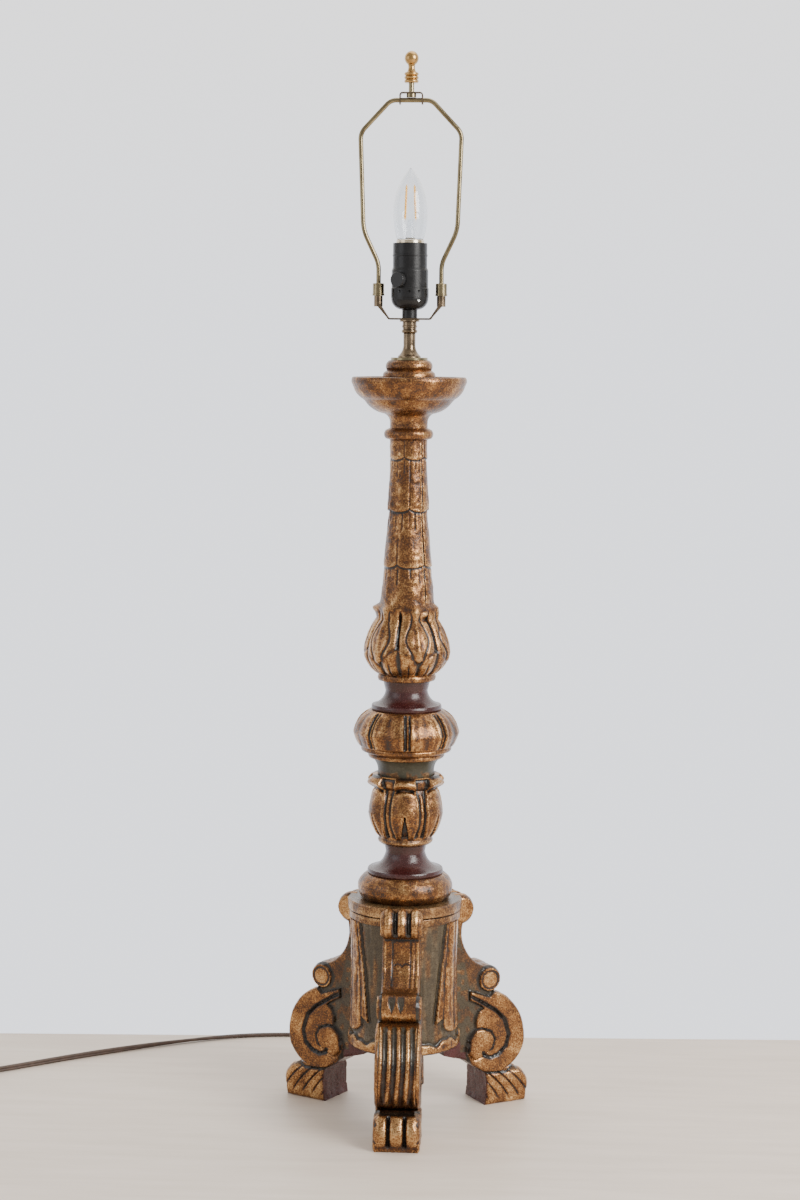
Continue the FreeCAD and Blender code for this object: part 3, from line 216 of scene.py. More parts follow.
# worn gold leaf on red-brown ground, with paint where the carver left it ungilded
gilding = {"patch": 42.0, "speck": 620.0, "grit": 1900.0, "patchShare": 0.34, "speckShare": 0.36,
           "gritShare": 0.30, "cutDark": 0.30, "roughSpread": 0.32, "relief": 0.0010}
fineGrain = {"metal": 900.0, "plastic": 1800.0, "filament": 700.0}


# Gold where the attribute gild is 1, the paint where it is 0, maroon where red is 1; a
# third attribute paints shade into the recesses and a highlight onto the high edges.
def carvedFinish(name, paint, gloss):
    material, tree, shader = newMaterial(name)
    place = objectPlace(tree)
    patch = noise(tree, place, gilding["patch"], 6.0, 0.62)
    speck = noise(tree, place, gilding["speck"], 4.0, 0.6)
    grit = noise(tree, place, gilding["grit"], 2.0, 0.5)
    cut = attribute(tree, "cut")
    gild = attribute(tree, "gild")
    red = attribute(tree, "red")
    mixed = sums(tree, "MULTIPLY_ADD", patch, gilding["patchShare"],
                 sums(tree, "MULTIPLY", speck, gilding["speckShare"]))
    mixed = sums(tree, "MULTIPLY_ADD", grit, gilding["gritShare"], mixed)
    # painted shade: recesses come out darker and less metallic, high edges lighter as a painted
    # highlight, on top of the gold's random wear
    wearAndShade = sums(tree, "SUBTRACT", mixed, sums(tree, "MULTIPLY", cut, gilding["cutDark"]))
    gold = ramp(tree, wearAndShade, [
        (0.34, (0.008, 0.005, 0.0035)), (0.43, (0.044, 0.018, 0.008)),
        (0.49, (0.137, 0.056, 0.021)), (0.55, (0.31, 0.148, 0.055)),
        (0.65, (0.70, 0.455, 0.215))])
    paintSpot = sums(tree, "ADD", wearAndShade, sums(tree, "MULTIPLY", grit, 0.2))
    painted = ramp(tree, paintSpot, [
        (0.40, tuple(0.45 * part for part in paint)), (0.62, paint),
        (0.80, tuple(min(1.0, 1.9 * part + 0.03) for part in paint))])
    maroon = ramp(tree, mixed, [(0.38, (0.030, 0.004, 0.004)), (0.62, (0.085, 0.010, 0.010))])
    base = blendColour(tree, gild, painted, gold)
    base = blendColour(tree, red, base, maroon)
    shine = ramp(tree, wearAndShade, [(0.38, 0.0), (0.52, 0.9)])
    bare = sums(tree, "SUBTRACT", 1.0, red)
    metal = sums(tree, "MULTIPLY", sums(tree, "MULTIPLY", shine, gild), bare)
    rough = sums(tree, "MULTIPLY_ADD", speck, gilding["roughSpread"], gloss)
    connect(tree, shader, Base_Color=base, Metallic=metal, Roughness=rough)
    height = sums(tree, "ADD", sums(tree, "MULTIPLY", speck, 0.6), patch)
    bump(tree, shader, height, 0.4, gilding["relief"])
    return material


# Brass or bronze with a cloudy patina between two tones.
def metalFinish(name, dark, light, rough, scale):
    material, tree, shader = newMaterial(name, Metallic=1.0)
    place = objectPlace(tree)
    cloud = noise(tree, place, scale, 5.0, 0.6)
    connect(tree, shader, Base_Color=ramp(tree, cloud, [(0.35, dark), (0.62, light)]),
            Roughness=sums(tree, "MULTIPLY_ADD", cloud, 0.18, rough - 0.09))
    bump(tree, shader, noise(tree, place, fineGrain["metal"], 2.0), 0.04, 0.0002)
    return material


# Moulded plastic: one colour with a fine orange-peel and slight wear.
def mouldedFinish(name, colour, rough):
    material, tree, shader = newMaterial(name, Specular_IOR_Level=0.38)
    place = objectPlace(tree)
    cloud = noise(tree, place, 120.0, 4.0)
    lighter = tuple(1.5 * part + 0.004 for part in colour)
    connect(tree, shader, Base_Color=ramp(tree, cloud, [(0.4, colour), (0.75, lighter)]),
            Roughness=sums(tree, "MULTIPLY_ADD", cloud, 0.2, rough - 0.1))
    bump(tree, shader, noise(tree, place, fineGrain["plastic"], 2.0), 0.12, 0.0003)
    return material


def glassFinish():
    material, tree, shader = newMaterial("clearBulb", Roughness=0.02, IOR=1.45)
    shader.inputs["Transmission Weight"].default_value = 1.0
    haze = noise(tree, objectPlace(tree), 60.0, 3.0)
    colour = ramp(tree, haze, [(0.3, (0.88, 0.90, 0.91)), (0.7, (0.93, 0.94, 0.95))])
    connect(tree, shader, Base_Color=colour)
    return material


def filamentFinish():
    material, tree, shader = newMaterial("amberCoatGlow", Roughness=0.45)
    cloud = noise(tree, objectPlace(tree), fineGrain["filament"], 3.0)
    colour = ramp(tree, cloud, [(0.3, (0.90, 0.40, 0.05)), (0.7, (1.0, 0.58, 0.12))])
    # the amber strips also glow through emission: a painted glow, as no light is lit in the bulb
    connect(tree, shader, Base_Color=colour, Emission_Color=colour)
    shader.inputs["Emission Strength"].default_value = 0.8
    return material


finishes = {
    "gilt_wood": carvedFinish("giltWood", (0.056, 0.040, 0.019), 0.13),
    "red_wood": carvedFinish("maroonWood", (0.042, 0.009, 0.008), 0.08),
    "green_wood": carvedFinish("greenWood", (0.036, 0.033, 0.018), 0.26),
    "bare_wood": mouldedFinish("bareWood", (0.38, 0.24, 0.13), 0.6),
    "antique_brass": metalFinish("antiqueBrass", (0.19, 0.150, 0.085), (0.30, 0.245, 0.140),
                                 0.25, 60.0),
    "polished_brass": metalFinish("polishedBrass", (0.40, 0.235, 0.085), (0.52, 0.325, 0.125),
                                  0.26, 60.0),
    "bronze": metalFinish("darkBronze", (0.13, 0.095, 0.060), (0.26, 0.19, 0.12), 0.24, 120.0),
    "zinc_steel": metalFinish("zincSteel", (0.42, 0.42, 0.40), (0.66, 0.66, 0.63), 0.33, 260.0),
    "pale_brass": metalFinish("paleBrass", (0.62, 0.48, 0.30), (0.88, 0.78, 0.60), 0.22, 260.0),
    "black_moulding": mouldedFinish("blackMoulding", (0.005, 0.005, 0.0055), 0.34),
    "brown_cord": mouldedFinish("brownCord", (0.065, 0.042, 0.031), 0.5),
    "black_tie": mouldedFinish("blackTie", (0.015, 0.015, 0.015), 0.55),
    "clear_glass": glassFinish(),
    "amber_filament": filamentFinish(),
}


# shape helpers; lengths in millimetres from the stem axis until a mesh is made
# Points along an outline of (r, z) corners. A step with four numbers arrives on a circular
# arc through its second pair.
def traceLine(steps, spacing):
    path = [np.array([steps[0][:2]], dtype=float)]
    for start, step in zip(steps, steps[1:]):
        a, b = np.array(start[:2], float), np.array(step[:2], float)
        if len(step) == 2:
            count = max(1, int(np.ceil(np.linalg.norm(b - a) / spacing)))
            run = a + (b - a) * np.linspace(0, 1, count + 1)[1:, None]
        else:
            m = np.array(step[2:], float)
            d = 2 * (a[0] * (m[1] - b[1]) + m[0] * (b[1] - a[1]) + b[0] * (a[1] - m[1]))
            aa, ab, bb = a @ a, m @ m, b @ b
            centre = np.array([aa * (m[1] - b[1]) + ab * (b[1] - a[1]) + bb * (a[1] - m[1]),
                               aa * (b[0] - m[0]) + ab * (a[0] - b[0]) + bb * (m[0] - a[0])]) / d
            radius = np.linalg.norm(a - centre)
            angles = [math.atan2(*(p - centre)[::-1]) for p in (a, m, b)]
            sweep = (angles[2] - angles[0]) % (2 * math.pi)
            if (angles[1] - angles[0]) % (2 * math.pi) > sweep:
                sweep -= 2 * math.pi
            count = max(2, int(np.ceil(abs(sweep) * radius / spacing)))
            t = angles[0] + sweep * np.linspace(0, 1, count + 1)[1:]
            run = centre + radius * np.stack([np.cos(t), np.sin(t)], axis=1)
        path.append(run)
    return np.concatenate(path)


# Smooth random field in -1..1: values on a cubic lattice of the given size, joined by a
# smoothstep in each direction.
def lumps(points, size, seed):
    table = np.random.default_rng(seed).uniform(-1, 1, 4096)
    grid = points / size
    cell = np.floor(grid).astype(np.int64)
    part = grid - cell
    part = part * part * (3 - 2 * part)
    total = np.zeros(points.shape[:-1])
    for corner in np.ndindex(2, 2, 2):
        spot = cell + np.array(corner)
        key = (spot[..., 0] * 73856093 ^ spot[..., 1] * 19349663 ^ spot[..., 2] * 83492791)
        weight = np.prod(np.where(np.array(corner) == 1, part, 1 - part), axis=-1)
        total += table[key & 4095] * weight
    return total


# Bell curve of unit height.
def bell(x, width):
    return np.exp(-(x / width) ** 2)


# 0 below low, 1 above high, smoothstep between.
def smooth(x, low, high):
    t = np.clip((x - low) / (high - low), 0, 1)
    return t * t * (3 - 2 * t)


# 1 between full and end, 0 below low and above past, smoothstep between.
def window(x, low, full, end, past):
    return smooth(x, low, full) * (1 - smooth(x, end, past))


# Angle folded into half a period either side of zero.
def wrapped(angle, period):
    return (angle + period / 2) % period - period / 2


# Points turned about the stem axis by an angle.
def aboutStem(points, angle):
    x, y, z = points.T
    return np.stack([x * math.cos(angle) - y * math.sin(angle),
                     x * math.sin(angle) + y * math.cos(angle), z], axis=1)


# How far each grid point lies below its surroundings, 0..1, for painted shade; columns run around.
def recess(relief, rounds=14):
    soft = relief.copy()
    for _ in range(rounds):
        soft = (soft + np.roll(soft, 1, 0) + np.roll(soft, -1, 0)) / 3
        soft[:, 1:-1] = (soft[:, :-2] + soft[:, 1:-1] + soft[:, 2:]) / 3
    return np.clip((soft - relief) / 1.1, -0.2, 1)


# Finish, body and the nodes that the piece stands for.
def dress(piece, slot, body, nodes):
    piece.data.materials.append(finishes[slot])
    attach(piece, body)
    if nodes:
        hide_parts(*nodes)
    return piece


# Mesh object from points in millimetres about the stem axis.
def meshPiece(name, points, faces, sharp=None, **fields):
    mesh = bpy.data.meshes.new(name)
    place = points * mm + np.array([stemX, stemY, 0.0])
    mesh.from_pydata(place.tolist(), [], [list(face) for face in faces])
    mesh.polygons.foreach_set("use_smooth", np.ones(len(mesh.polygons), dtype=bool))
    for field, values in fields.items():
        layer = mesh.attributes.new(field, "FLOAT", "POINT")
        layer.data.foreach_set("value", np.asarray(values, dtype=np.float32).ravel())
    if sharp:
        mesh.set_sharp_from_angle(angle=math.radians(sharp))
    mesh.validate()
    return addObject(name, mesh)


# Quads of a grid whose first index runs around and closes.
def gridFaces(across, along, wrapAlong=False):
    i = np.arange(across)[:, None]
    j = np.arange(along if wrapAlong else along - 1)[None, :]
    ii, jj = (i + 1) % across, (j + 1) % along
    quads = np.stack([i * along + j, ii * along + j, ii * along + jj, i * along + jj], axis=-1)
    return quads.reshape(-1, 4)


# Surface of revolution: radius r and height z along the outline, turned about Z, with
# carve(angle, r, z) added to the radius. Outlines run from the lowest inner point up the
# outside; ends off the axis are closed to it.
def lathe(name, steps, slot, body="candlestick", nodes=(), spacing=1.0, around=96,
          carve=None, sharp=32, seed=0, wobble=0.0, gild=1.0, red=None, put=None, ring=False):
    line = traceLine(steps, spacing)
    angle = np.arange(around) * 2 * math.pi / around
    radius = np.repeat(line[None, :, 0], around, axis=0)
    height = np.repeat(line[None, :, 1], around, axis=0)
    turn = np.repeat(angle[:, None], len(line), axis=1)
    relief = np.zeros_like(radius)
    if carve:
        relief = carve(turn, radius, height)
    flat = np.stack([radius * np.cos(turn), radius * np.sin(turn), height], axis=-1)
    if wobble:
        relief = relief + wobble * (lumps(flat, 9.0, seed) + 0.6 * lumps(flat, 3.5, seed + 1))
    # painted shade from the relief: wood pieces come out darker in hollows and lighter on high spots
    recessShading = recess(relief) if carve or wobble else np.zeros_like(radius)
    radius = radius + relief * (radius > 0.5)
    points = np.stack([radius * np.cos(turn), radius * np.sin(turn), height], axis=-1)
    points = points.reshape(-1, 3)
    faces = gridFaces(around, len(line), ring).tolist()
    first = np.arange(around) * len(line)
    fields = recessShading.ravel()
    ends = []
    for end, flip in () if ring else ((0, True), (len(line) - 1, False)):
        ends.append([0.0, 0.0, line[end, 1]])
        pole = np.full(around, len(points) + len(ends) - 1)
        rim = [first + end, np.roll(first, -1) + end]
        faces += np.stack([pole, *(rim[::-1] if flip else rim)], axis=1).tolist()
    points = np.concatenate([points, np.reshape(ends, (-1, 3))])
    fields = np.concatenate([fields, np.zeros(len(ends))])
    paint = {}
    if slot.endswith("wood"):
        # the first field is painted shade and highlight from the relief; gild and red are real gold and
        # paint
        paint["cut"] = fields
        paint["gild"] = gild(points) if callable(gild) else np.full(len(points), float(gild))
        paint["red"] = red(points) if red else np.zeros(len(points))
    if put:
        points = put(points)
    return dress(meshPiece(name, points, faces, sharp, **paint), slot, body, nodes)


# Straight runs through the corners, joined by tangent arcs of the given radii.
def runningPath(corners, radii, spacing):
    corners = [np.array(corner, float) for corner in corners]
    path = [corners[0]]
    for before, corner, after, radius in zip(corners, corners[1:], corners[2:], radii):
        inward = (before - corner) / np.linalg.norm(before - corner)
        onward = (after - corner) / np.linalg.norm(after - corner)
        turn = math.pi - math.acos(np.clip(inward @ onward, -1, 1))
        back = radius * math.tan(turn / 2)
        middle = (inward + onward) / np.linalg.norm(inward + onward)
        centre = corner + middle * radius / math.cos(turn / 2)
        start, end = corner + inward * back - centre, corner + onward * back - centre
        for step in np.linspace(0, 1, max(3, int(turn * radius / spacing)) + 1):
            path.append(centre + (math.sin((1 - step) * turn) * start
                                  + math.sin(step * turn) * end) / math.sin(turn))
    path.append(corners[-1])
    return np.array(path)


# Quads of a tube of closed sections, with a face over each end.
def tubeFaces(count, along):
    first = np.arange(count) * along
    return gridFaces(count, along).tolist() + [first[::-1].tolist(), (first + along - 1).tolist()]


# Tube along a path: the section's first axis follows wide (one direction for each point), the
# second stands square to it and to the path. Both ends are closed.
def sweep(name, path, section, wide, slot, body, nodes=()):
    ahead = np.gradient(path, axis=0)
    ahead /= np.linalg.norm(ahead, axis=1)[:, None]
    wide = wide - ahead * np.sum(wide * ahead, axis=1)[:, None]
    wide /= np.linalg.norm(wide, axis=1)[:, None]
    thin = np.cross(ahead, wide)
    points = (path[None] + section[:, None, :1] * wide[None] + section[:, None, 1:] * thin[None])
    piece = meshPiece(name, points.reshape(-1, 3), tubeFaces(*points.shape[:2]), 50)
    return dress(piece, slot, body, nodes)


def ringSection(radius, count=20):
    angle = np.arange(count) * 2 * math.pi / count
    return radius * np.stack([np.cos(angle), np.sin(angle)], axis=1)


# free cord: a flat twin cord that lies on its wide side, turns on edge and ends in a coil
cord = {"route": [(0, 80, 88), (0, 104, 86.5), (-1, 138, 64), (-4, 168, 30), (-10, 203, 5.2),
                  (-32, 240, 2.1), (-80, 265, 2.1), (-150, 267, 2.1), (-215, 255, 2.4),
                  (-288, 217, 3.4), (-376, 161, 3.4), (-450, 104.5, 3.4)],
        "coil": (-509.4, 108.4), "outer": 39.9, "pitch": 3.6, "layerTurns": 2.6,
        "turns": 5.356, "climb": 0.15, "low": 4.3, "high": 11.0, "startAngle": -51.7,
        "tail": [(-548.7, 122, 10.6), (-547.8, 133, 9.2), (-547, 143, 7.2), (-547, 151, 6.2)],
        "strand": 1.8, "apart": 1.5, "onEdgeFrom": -215.0, "onEdgeTo": -376.0}


def makeCord():
    route = list(cord["route"])
    for turn in np.arange(0, cord["turns"] + 0.01, 1 / 16):
        outward = max(0.0, turn - cord["layerTurns"] - cord["climb"])
        radius = cord["outer"] - cord["pitch"] * (min(turn, cord["layerTurns"]) - outward)
        rise = min(1.0, max(0.0, (turn - cord["layerTurns"]) / cord["climb"]))
        angle = math.radians(cord["startAngle"]) - turn * 2 * math.pi
        route.append((cord["coil"][0] + radius * math.cos(angle),
                      cord["coil"][1] + radius * math.sin(angle),
                      cord["low"] + rise * (cord["high"] - cord["low"])))
    route += cord["tail"]
    data = bpy.data.curves.new("cordLine", "CURVE")
    data.dimensions = "3D"
    data.resolution_u = 8
    spline = data.splines.new("NURBS")
    spline.points.add(len(route) - 1)
    for point, (x, y, z) in zip(spline.points, route):
        point.co = (x, y, z, 1)
    spline.order_u = 3
    spline.use_endpoint_u = True
    line = bpy.data.objects.new("cordLine", data)
    read = bpy.data.meshes.new_from_object(line)
    path = np.array([vertex.co for vertex in read.vertices])
    bpy.data.objects.remove(line)
    ahead = np.gradient(path, axis=0)
    side = np.cross([0.0, 0.0, 1.0], ahead)
    side /= np.linalg.norm(side, axis=1)[:, None]
    above = np.cross(ahead, side)
    above /= np.linalg.norm(above, axis=1)[:, None]
    edge = smooth(-path[:, 0], -cord["onEdgeFrom"], -cord["onEdgeTo"])[:, None] * math.pi / 2
    wide = side * np.cos(edge) + above * np.sin(edge)
    angle = np.arange(28) * 2 * math.pi / 28
    reach = (cord["apart"] * np.abs(np.cos(angle))
             + np.sqrt(cord["strand"] ** 2 - (cord["apart"] * np.sin(angle)) ** 2))
    section = np.stack([reach * np.cos(angle), reach * np.sin(angle)], axis=1)
    flex = sweep("flexCord", path, section, wide, "brown_cord", "candlestick",
                 ["cord_run", "cord_tail", "cord_coil"])


# Nodes that keep their own shape take the finish of their slot.
def finishNodes():
    for part in frame["record"]["subparts"]:
        node = frame["nodes"][part["node"]]
        node.data.materials.clear()
        node.data.materials.append(finishes[part["material_slot"]])


# turned and carved stem. Outlines are (r, z), with arcs as (r, z, through r, through z)
front = -math.pi / 2


cup = {"petals": 6, "turned": 0.03, "foot": 299, "top": 366, "sunk": 3.2, "wedgeTop": 326,
       "wedgeDeep": 3.4, "tip": 361.0, "tipHigh": 3.4, "leafHigh": 1.9, "bead": 295, "beadHigh": 1.1}


# Six petals: a raised rounded face with rims, sunk behind its edges, a rolled tip, a
# wedge opened at its foot and a narrow leaf between.
def cupCarving(turn, radius, height):
    half = math.pi / cup["petals"]
    middle = turn - front - cup["turned"]
    span = np.abs(wrapped(middle, 2 * half) / half)
    edge = 0.78 - 0.20 * smooth(height, 338, 362) - 0.16 * (1 - smooth(height, cup["foot"], 318))
    inside = 1 - smooth(span, edge - 0.04, edge + 0.05)
    ends = smooth(height, cup["foot"], cup["foot"] + 5) * (1 - smooth(height, 363.5, cup["top"]))
    relief = inside * (1.5 - 1.6 * (span / 0.7) ** 2) - cup["sunk"] * (1 - inside)
    relief += 0.55 * bell(span - edge + 0.10, 0.05) * inside
    between = wrapped(middle + half, 2 * half) / half
    relief += cup["leafHigh"] * bell(between, 0.15) * (1 - smooth(height, 340, 354))
    wedge = 0.20 * (1 - smooth(height, cup["foot"], 327))
    opened = (1 - smooth(span, wedge, wedge + 0.05)) * (height < cup["wedgeTop"])
    relief -= cup["wedgeDeep"] * opened
    bowed = height - cup["tip"] + 9 * span ** 2
    relief += cup["tipHigh"] * inside * bell(bowed, 3.9)
    relief -= 2.4 * inside * bell(bowed + 7, 2.3) * (1 - smooth(span, 0.5, 0.75))
    return relief * ends + cup["beadHigh"] * bell(height - cup["bead"], 2.6)


knop = {"lobes": 8, "turned": 0.07, "low": 396, "high": 434.5, "groove": 2.9, "rib": 2.0}


# Eight lobes parted by grooves, each groove with a thin raised rib.
def knopCarving(turn, radius, height):
    across = wrapped(turn - front - knop["turned"], 2 * math.pi / knop["lobes"]) * radius
    deep = smooth(height, knop["low"], 400) * (1 - smooth(height, 431, knop["high"]))
    groove = 1 - smooth(np.abs(across), 2.6, 4.6)
    relief = knop["rib"] * bell(across - 0.6, 1.15) - knop["groove"] * groove
    relief += 0.5 * bell(np.abs(across) - 5.2, 1.4) - 1.1 * smooth(np.abs(across), 12, 22)
    return relief * deep


shaft = {"gadroons": 12, "leaves": 6, "leafFoot": 487, "leafTip": 541, "blades": 5,
         "tiers": ((587, 1.0, 0.2), (645, 1.35, 0.75), (699, 0.8, 0.45)),  # lip, step, turn
         "gouges": 17, "gougeLong": (9, 22), "gougeDeep": (0.2, 0.85), "ridge": 0.85,
         # single chips and curled leaf ends: height, tall, turn, broad, lift
         "accents": ((531.5, 3.0, 0.05, 0.183, -2.0), (537.5, 2.6, 0.02, 0.15, 2.4),
                     (512, 13, -0.72, 0.34, 2.2), (541.5, 4.5, 1.5 * math.pi, 0.26, 4.2))}


# Gadroons at the foot, tall leaves over them, then tiers of long leaf blades with rounded
# lower ends, short gouge strokes below them and a thin ridge down the front.
def shaftCarving(turn, radius, height):
    relief = np.zeros_like(radius)
    half = math.pi / shaft["gadroons"]
    gadroon = wrapped(turn - front - 0.10, 2 * half) / half
    half = math.pi / shaft["leaves"]
    lobe = np.abs(wrapped(turn - front - 0.33, 2 * half) / half)
    low = shaft["leafFoot"] + 13 * lobe + 2 * np.sin(3 * turn)
    foot = window(height, 472, 475, low - 1.5, low + 1.5)
    relief += foot * (1.2 - 3.6 * np.abs(gadroon) ** 2.2)
    relief -= foot * 1.3 * bell(gadroon, 0.10) * (1 - smooth(height, 480, 490))
    leaf = window(height, low - 1.5, low + 2.5, 534, 543)
    relief += leaf * (1.3 - 3.6 * lobe ** 2)
    relief -= leaf * 2.4 * bell(1 - lobe, 0.10)
    relief -= leaf * 1.3 * bell(lobe - 0.42 - 0.16 * np.sin(height * 0.15), 0.07)
    relief += leaf * 0.9 * bell(lobe, 0.09)
    tip = bell(height - shaft["leafTip"], 6.0)
    relief += tip * (3.0 * bell(lobe, 0.42) - 1.2)
    for level, tall, aside, broad, lift in shaft["accents"]:
        spot = bell(wrapped(turn - front - aside, 7.0), broad)
        relief += lift * spot * bell(height - level, tall)
    random = np.random.default_rng(9)
    half = math.pi / shaft["blades"]
    for lip, step, phase in shaft["tiers"]:
        end = np.abs(wrapped(turn - front - phase, 2 * half) / half)
        edge = lip - 1.5 + 5.0 * (1 - np.sqrt(np.clip(1 - end ** 2, 0, 1)))
        blade = smooth(height - edge, -0.5, 0.5) * (1 - smooth(height, lip + 6, lip + 50))
        relief += step * blade - 0.7 * bell(height - edge + 1.2, 1.0)
        relief -= 0.55 * bell(1 - end, 0.07) * blade
        for spot in np.arange(shaft["gouges"]) + random.uniform(-0.3, 0.3, shaft["gouges"]):
            long = random.uniform(*shaft["gougeLong"])
            away = wrapped(turn - spot * 2 * math.pi / shaft["gouges"], 7.0) * radius
            gouge = smooth(height, lip - 4 - long, lip - long) * (1 - smooth(height, lip - 4, lip))
            relief -= random.uniform(*shaft["gougeDeep"]) * gouge * bell(away, 1.0)
    ridge = wrapped(turn - front, 7.0) * radius
    stem = window(height, 545, 552, 712, 716)
    relief += stem * shaft["ridge"] * bell(ridge - 0.6, 0.9)
    relief -= stem * 1.2 * bell(ridge - 2.9, 0.75)
    return relief


def makeStem():
    lathe("torusRing", [(30, 233.4), (45, 233.4), (40.5, 260, 50.2, 246), (30, 260)],
          "gilt_wood", nodes=["base_torus"], around=180, wobble=0.35, seed=11)
    lathe("lowerNeckTurning", [
        (20, 260), (39.2, 260), (39.2, 265.5, 40.0, 262.7), (20.8, 283, 26.5, 271.5),
        (22.4, 291), (12, 291)], "red_wood", nodes=["lower_neck"], around=144, wobble=0.18,
        seed=12, gild=0)
    lathe("leafCupCarving", [
        (12, 291), (22.4, 291), (27.9, 299, 27.9, 295), (39.2, 326, 34, 308.5),
        (33.6, 352, 37.6, 337), (35, 366, 37, 362), (31, 366), (31, 352), (29, 351)],
        "gilt_wood", nodes=["leaf_cup"], spacing=0.7, around=400, wobble=0.3, seed=13,
        carve=cupCarving, sharp=60,
        gild=lambda p: 1 - 0.25 * (p[:, 2] < 300))
    lathe("greenCoveTurning", [
        (28, 351), (28.6, 351), (29.6, 369), (36.8, 384.2, 31.8, 378.5), (20, 384.2)],
        "green_wood", nodes=["green_cove"], around=144, wobble=0.2, seed=14,
        gild=lambda p: 0.55 * (1 - smooth(p[:, 2], 369, 374)) * (lumps(p, 3.0, 5) > 0.1))
    lathe("lobedKnopCarving", [
        (20, 384.2), (39, 384.2), (39.6, 388.6, 40.2, 386.4), (46.8, 391.5), (47.1, 395.5, 47.6, 393.5),
        (50, 397.5), (55.5, 411, 51, 399.4), (38.5, 434.6, 50.5, 424), (20, 434.6)],
        "gilt_wood", nodes=["lobed_knop"], spacing=0.7, around=400, wobble=0.3, seed=15,
        carve=knopCarving, sharp=50)
    lathe("upperNeckTurning", [
        (20, 434.6), (36, 434.6), (36, 440.3, 36.9, 437.4), (22.2, 455, 25.8, 446.2), (25, 466),
        (12, 466)], "red_wood", nodes=["upper_neck"], around=144, wobble=0.15, seed=16,
        gild=0)
    lathe("leafShaftCarving", [
        (12, 466), (29.5, 466), (29.5, 472.4, 30.6, 469.2), (44.7, 497.5, 38.6, 481),
        (31, 531, 41, 513), (32, 543), (28.2, 547), (27, 563), (25.5, 575), (24.3, 587),
        (23.2, 600), (21.5, 625), (20.2, 640), (20.2, 650), (19.6, 675), (19, 697), (18.6, 705),
        (18.6, 717.4), (12, 717.4)],
        "gilt_wood", nodes=["leaf_shaft"], spacing=0.85, around=288, wobble=0.35, seed=17,
        carve=shaftCarving, sharp=60)
    lathe("dripPanTurning", [
        (12, 717.4), (19, 717.4), (23.8, 719), (23.8, 727.8, 25.6, 723.4), (19.6, 730),
        (19.6, 736), (25.4, 744.6, 21.6, 741.5), (45.4, 757.2, 38.4, 750), (47.6, 759.6),
        (57.6, 771.5, 53.8, 764.5), (59.4, 775.5), (59.4, 781.6, 60.1, 778.5), (58.4, 782.4, 59, 782.2),
        (54.6, 781.6, 56.5, 782.6), (44, 768.6, 51.6, 772.5), (24, 768.6)],
        "gilt_wood", nodes=["drip_pan"], around=220, wobble=0.22, seed=18)
    lathe("panDomeTurning", [
        (20, 768.6), (26.6, 768.6), (26.6, 779), (26.6, 787, 27.6, 783), (23.2, 789.4),
        (20.4, 799.8, 24.4, 793.4), (5, 799.8)], "gilt_wood", nodes=["pan_dome"],
        around=144, wobble=0.18, seed=19)
    print("stem", len(bpy.data.meshes["leafShaftCarving"].polygons))


# plinth with its cap; panels carry two hanging folds of cloth in low relief. Angles across
# a fold are in degrees from the panel's middle, each as (at the top, gained at the foot)
plinthPanels = ((math.radians(210), 1), (math.radians(330), -1), (math.radians(90), 1))
folds = {"top": 213, "long": 118, "left": (-15, -8), "right": (4, 8), "far": (7, 17),
         "broadEnd": 96, "broadRound": 11, "broadHigh": 3.1, "narrowEnd": 107, "narrowSlope": 0.55,
         "narrowHigh": 1.5, "hem": 87, "hemHigh": 1.7, "streak": 0.35}


# Raised height and gilding of the hanging folds: a broad fold with a rounded end and, on the
# side of the front leg, a narrower one with a pointed end.
def foldShape(turn, height):
    lift = np.zeros_like(turn)
    gold = np.zeros_like(turn)
    for middle, side in plinthPanels:
        s = np.degrees(wrapped(turn - middle, 2 * math.pi)) * side
        t = np.clip((folds["top"] - height) / folds["long"], 0, 1)
        left, right, far = (folds[side][0] + folds[side][1] * t for side in ("left", "right", "far"))
        centre, half = (left + right) / 2, (right - left) / 2
        within = (s - centre) / half
        drop = 1 - np.sqrt(np.clip(1 - within ** 2, 0, 1))
        end = folds["broadEnd"] + folds["broadRound"] * drop
        broad = window(s, left - 0.8, left + 0.8, right - 0.8, right + 0.8)
        broad *= smooth(height, end - 0.8, end + 0.8)
        foot = folds["narrowEnd"] + folds["narrowSlope"] * (far - s)
        narrow = window(s, right - 1, right, far - 0.7, far + 0.7)
        narrow *= smooth(height, foot - 0.8, foot + 0.8)
        lift += broad * (folds["broadHigh"] - 1.2 * within ** 2 - 0.8 * bell(within + 0.15, 0.13))
        lift += narrow * (folds["narrowHigh"] + bell(s - far + 1.2, 1.2))
        gold += broad + narrow
        lift -= 0.9 * bell(s - right, 0.8) * (height > 100)
        lift -= 0.8 * bell(s - far - 1.6, 1.0) * (height > 108)
    return lift, np.clip(gold, 0, 1)


def plinthCarving(turn, radius, height):
    lift, _ = foldShape(turn, height)
    wave = folds["hem"] + 2.6 * np.sin(turn * 9 + 0.6) + 1.2 * np.sin(turn * 23)
    lip = 1 - smooth(height, wave - 1.2, wave + 1.2)
    lift += folds["hemHigh"] * lip * smooth(height, 76, 79) + 0.7 * bell(height - wave + 2.0, 1.4)
    lift -= 0.9 * bell(height - wave - 2.2, 1.6)
    streak = lumps(np.stack([turn * 19.0, height / 26.0, 0 * turn], axis=-1), 1.0, 40)
    return lift + folds["streak"] * streak


def plinthGild(points):
    turn = np.arctan2(points[:, 1], points[:, 0])
    height = points[:, 2]
    _, gold = foldShape(turn, height)
    wave = folds["hem"] + 2.6 * np.sin(turn * 9 + 0.6)
    lip = 1 - smooth(height, wave - 1, wave + 1.5)
    rubbed = 0.6 * smooth(lumps(points * np.array([1, 1, 0.25]), 7.0, 44), -0.1, 0.5)
    return np.clip(np.maximum(gold, lip) + rubbed * (gold < 0.5), 0, 1)


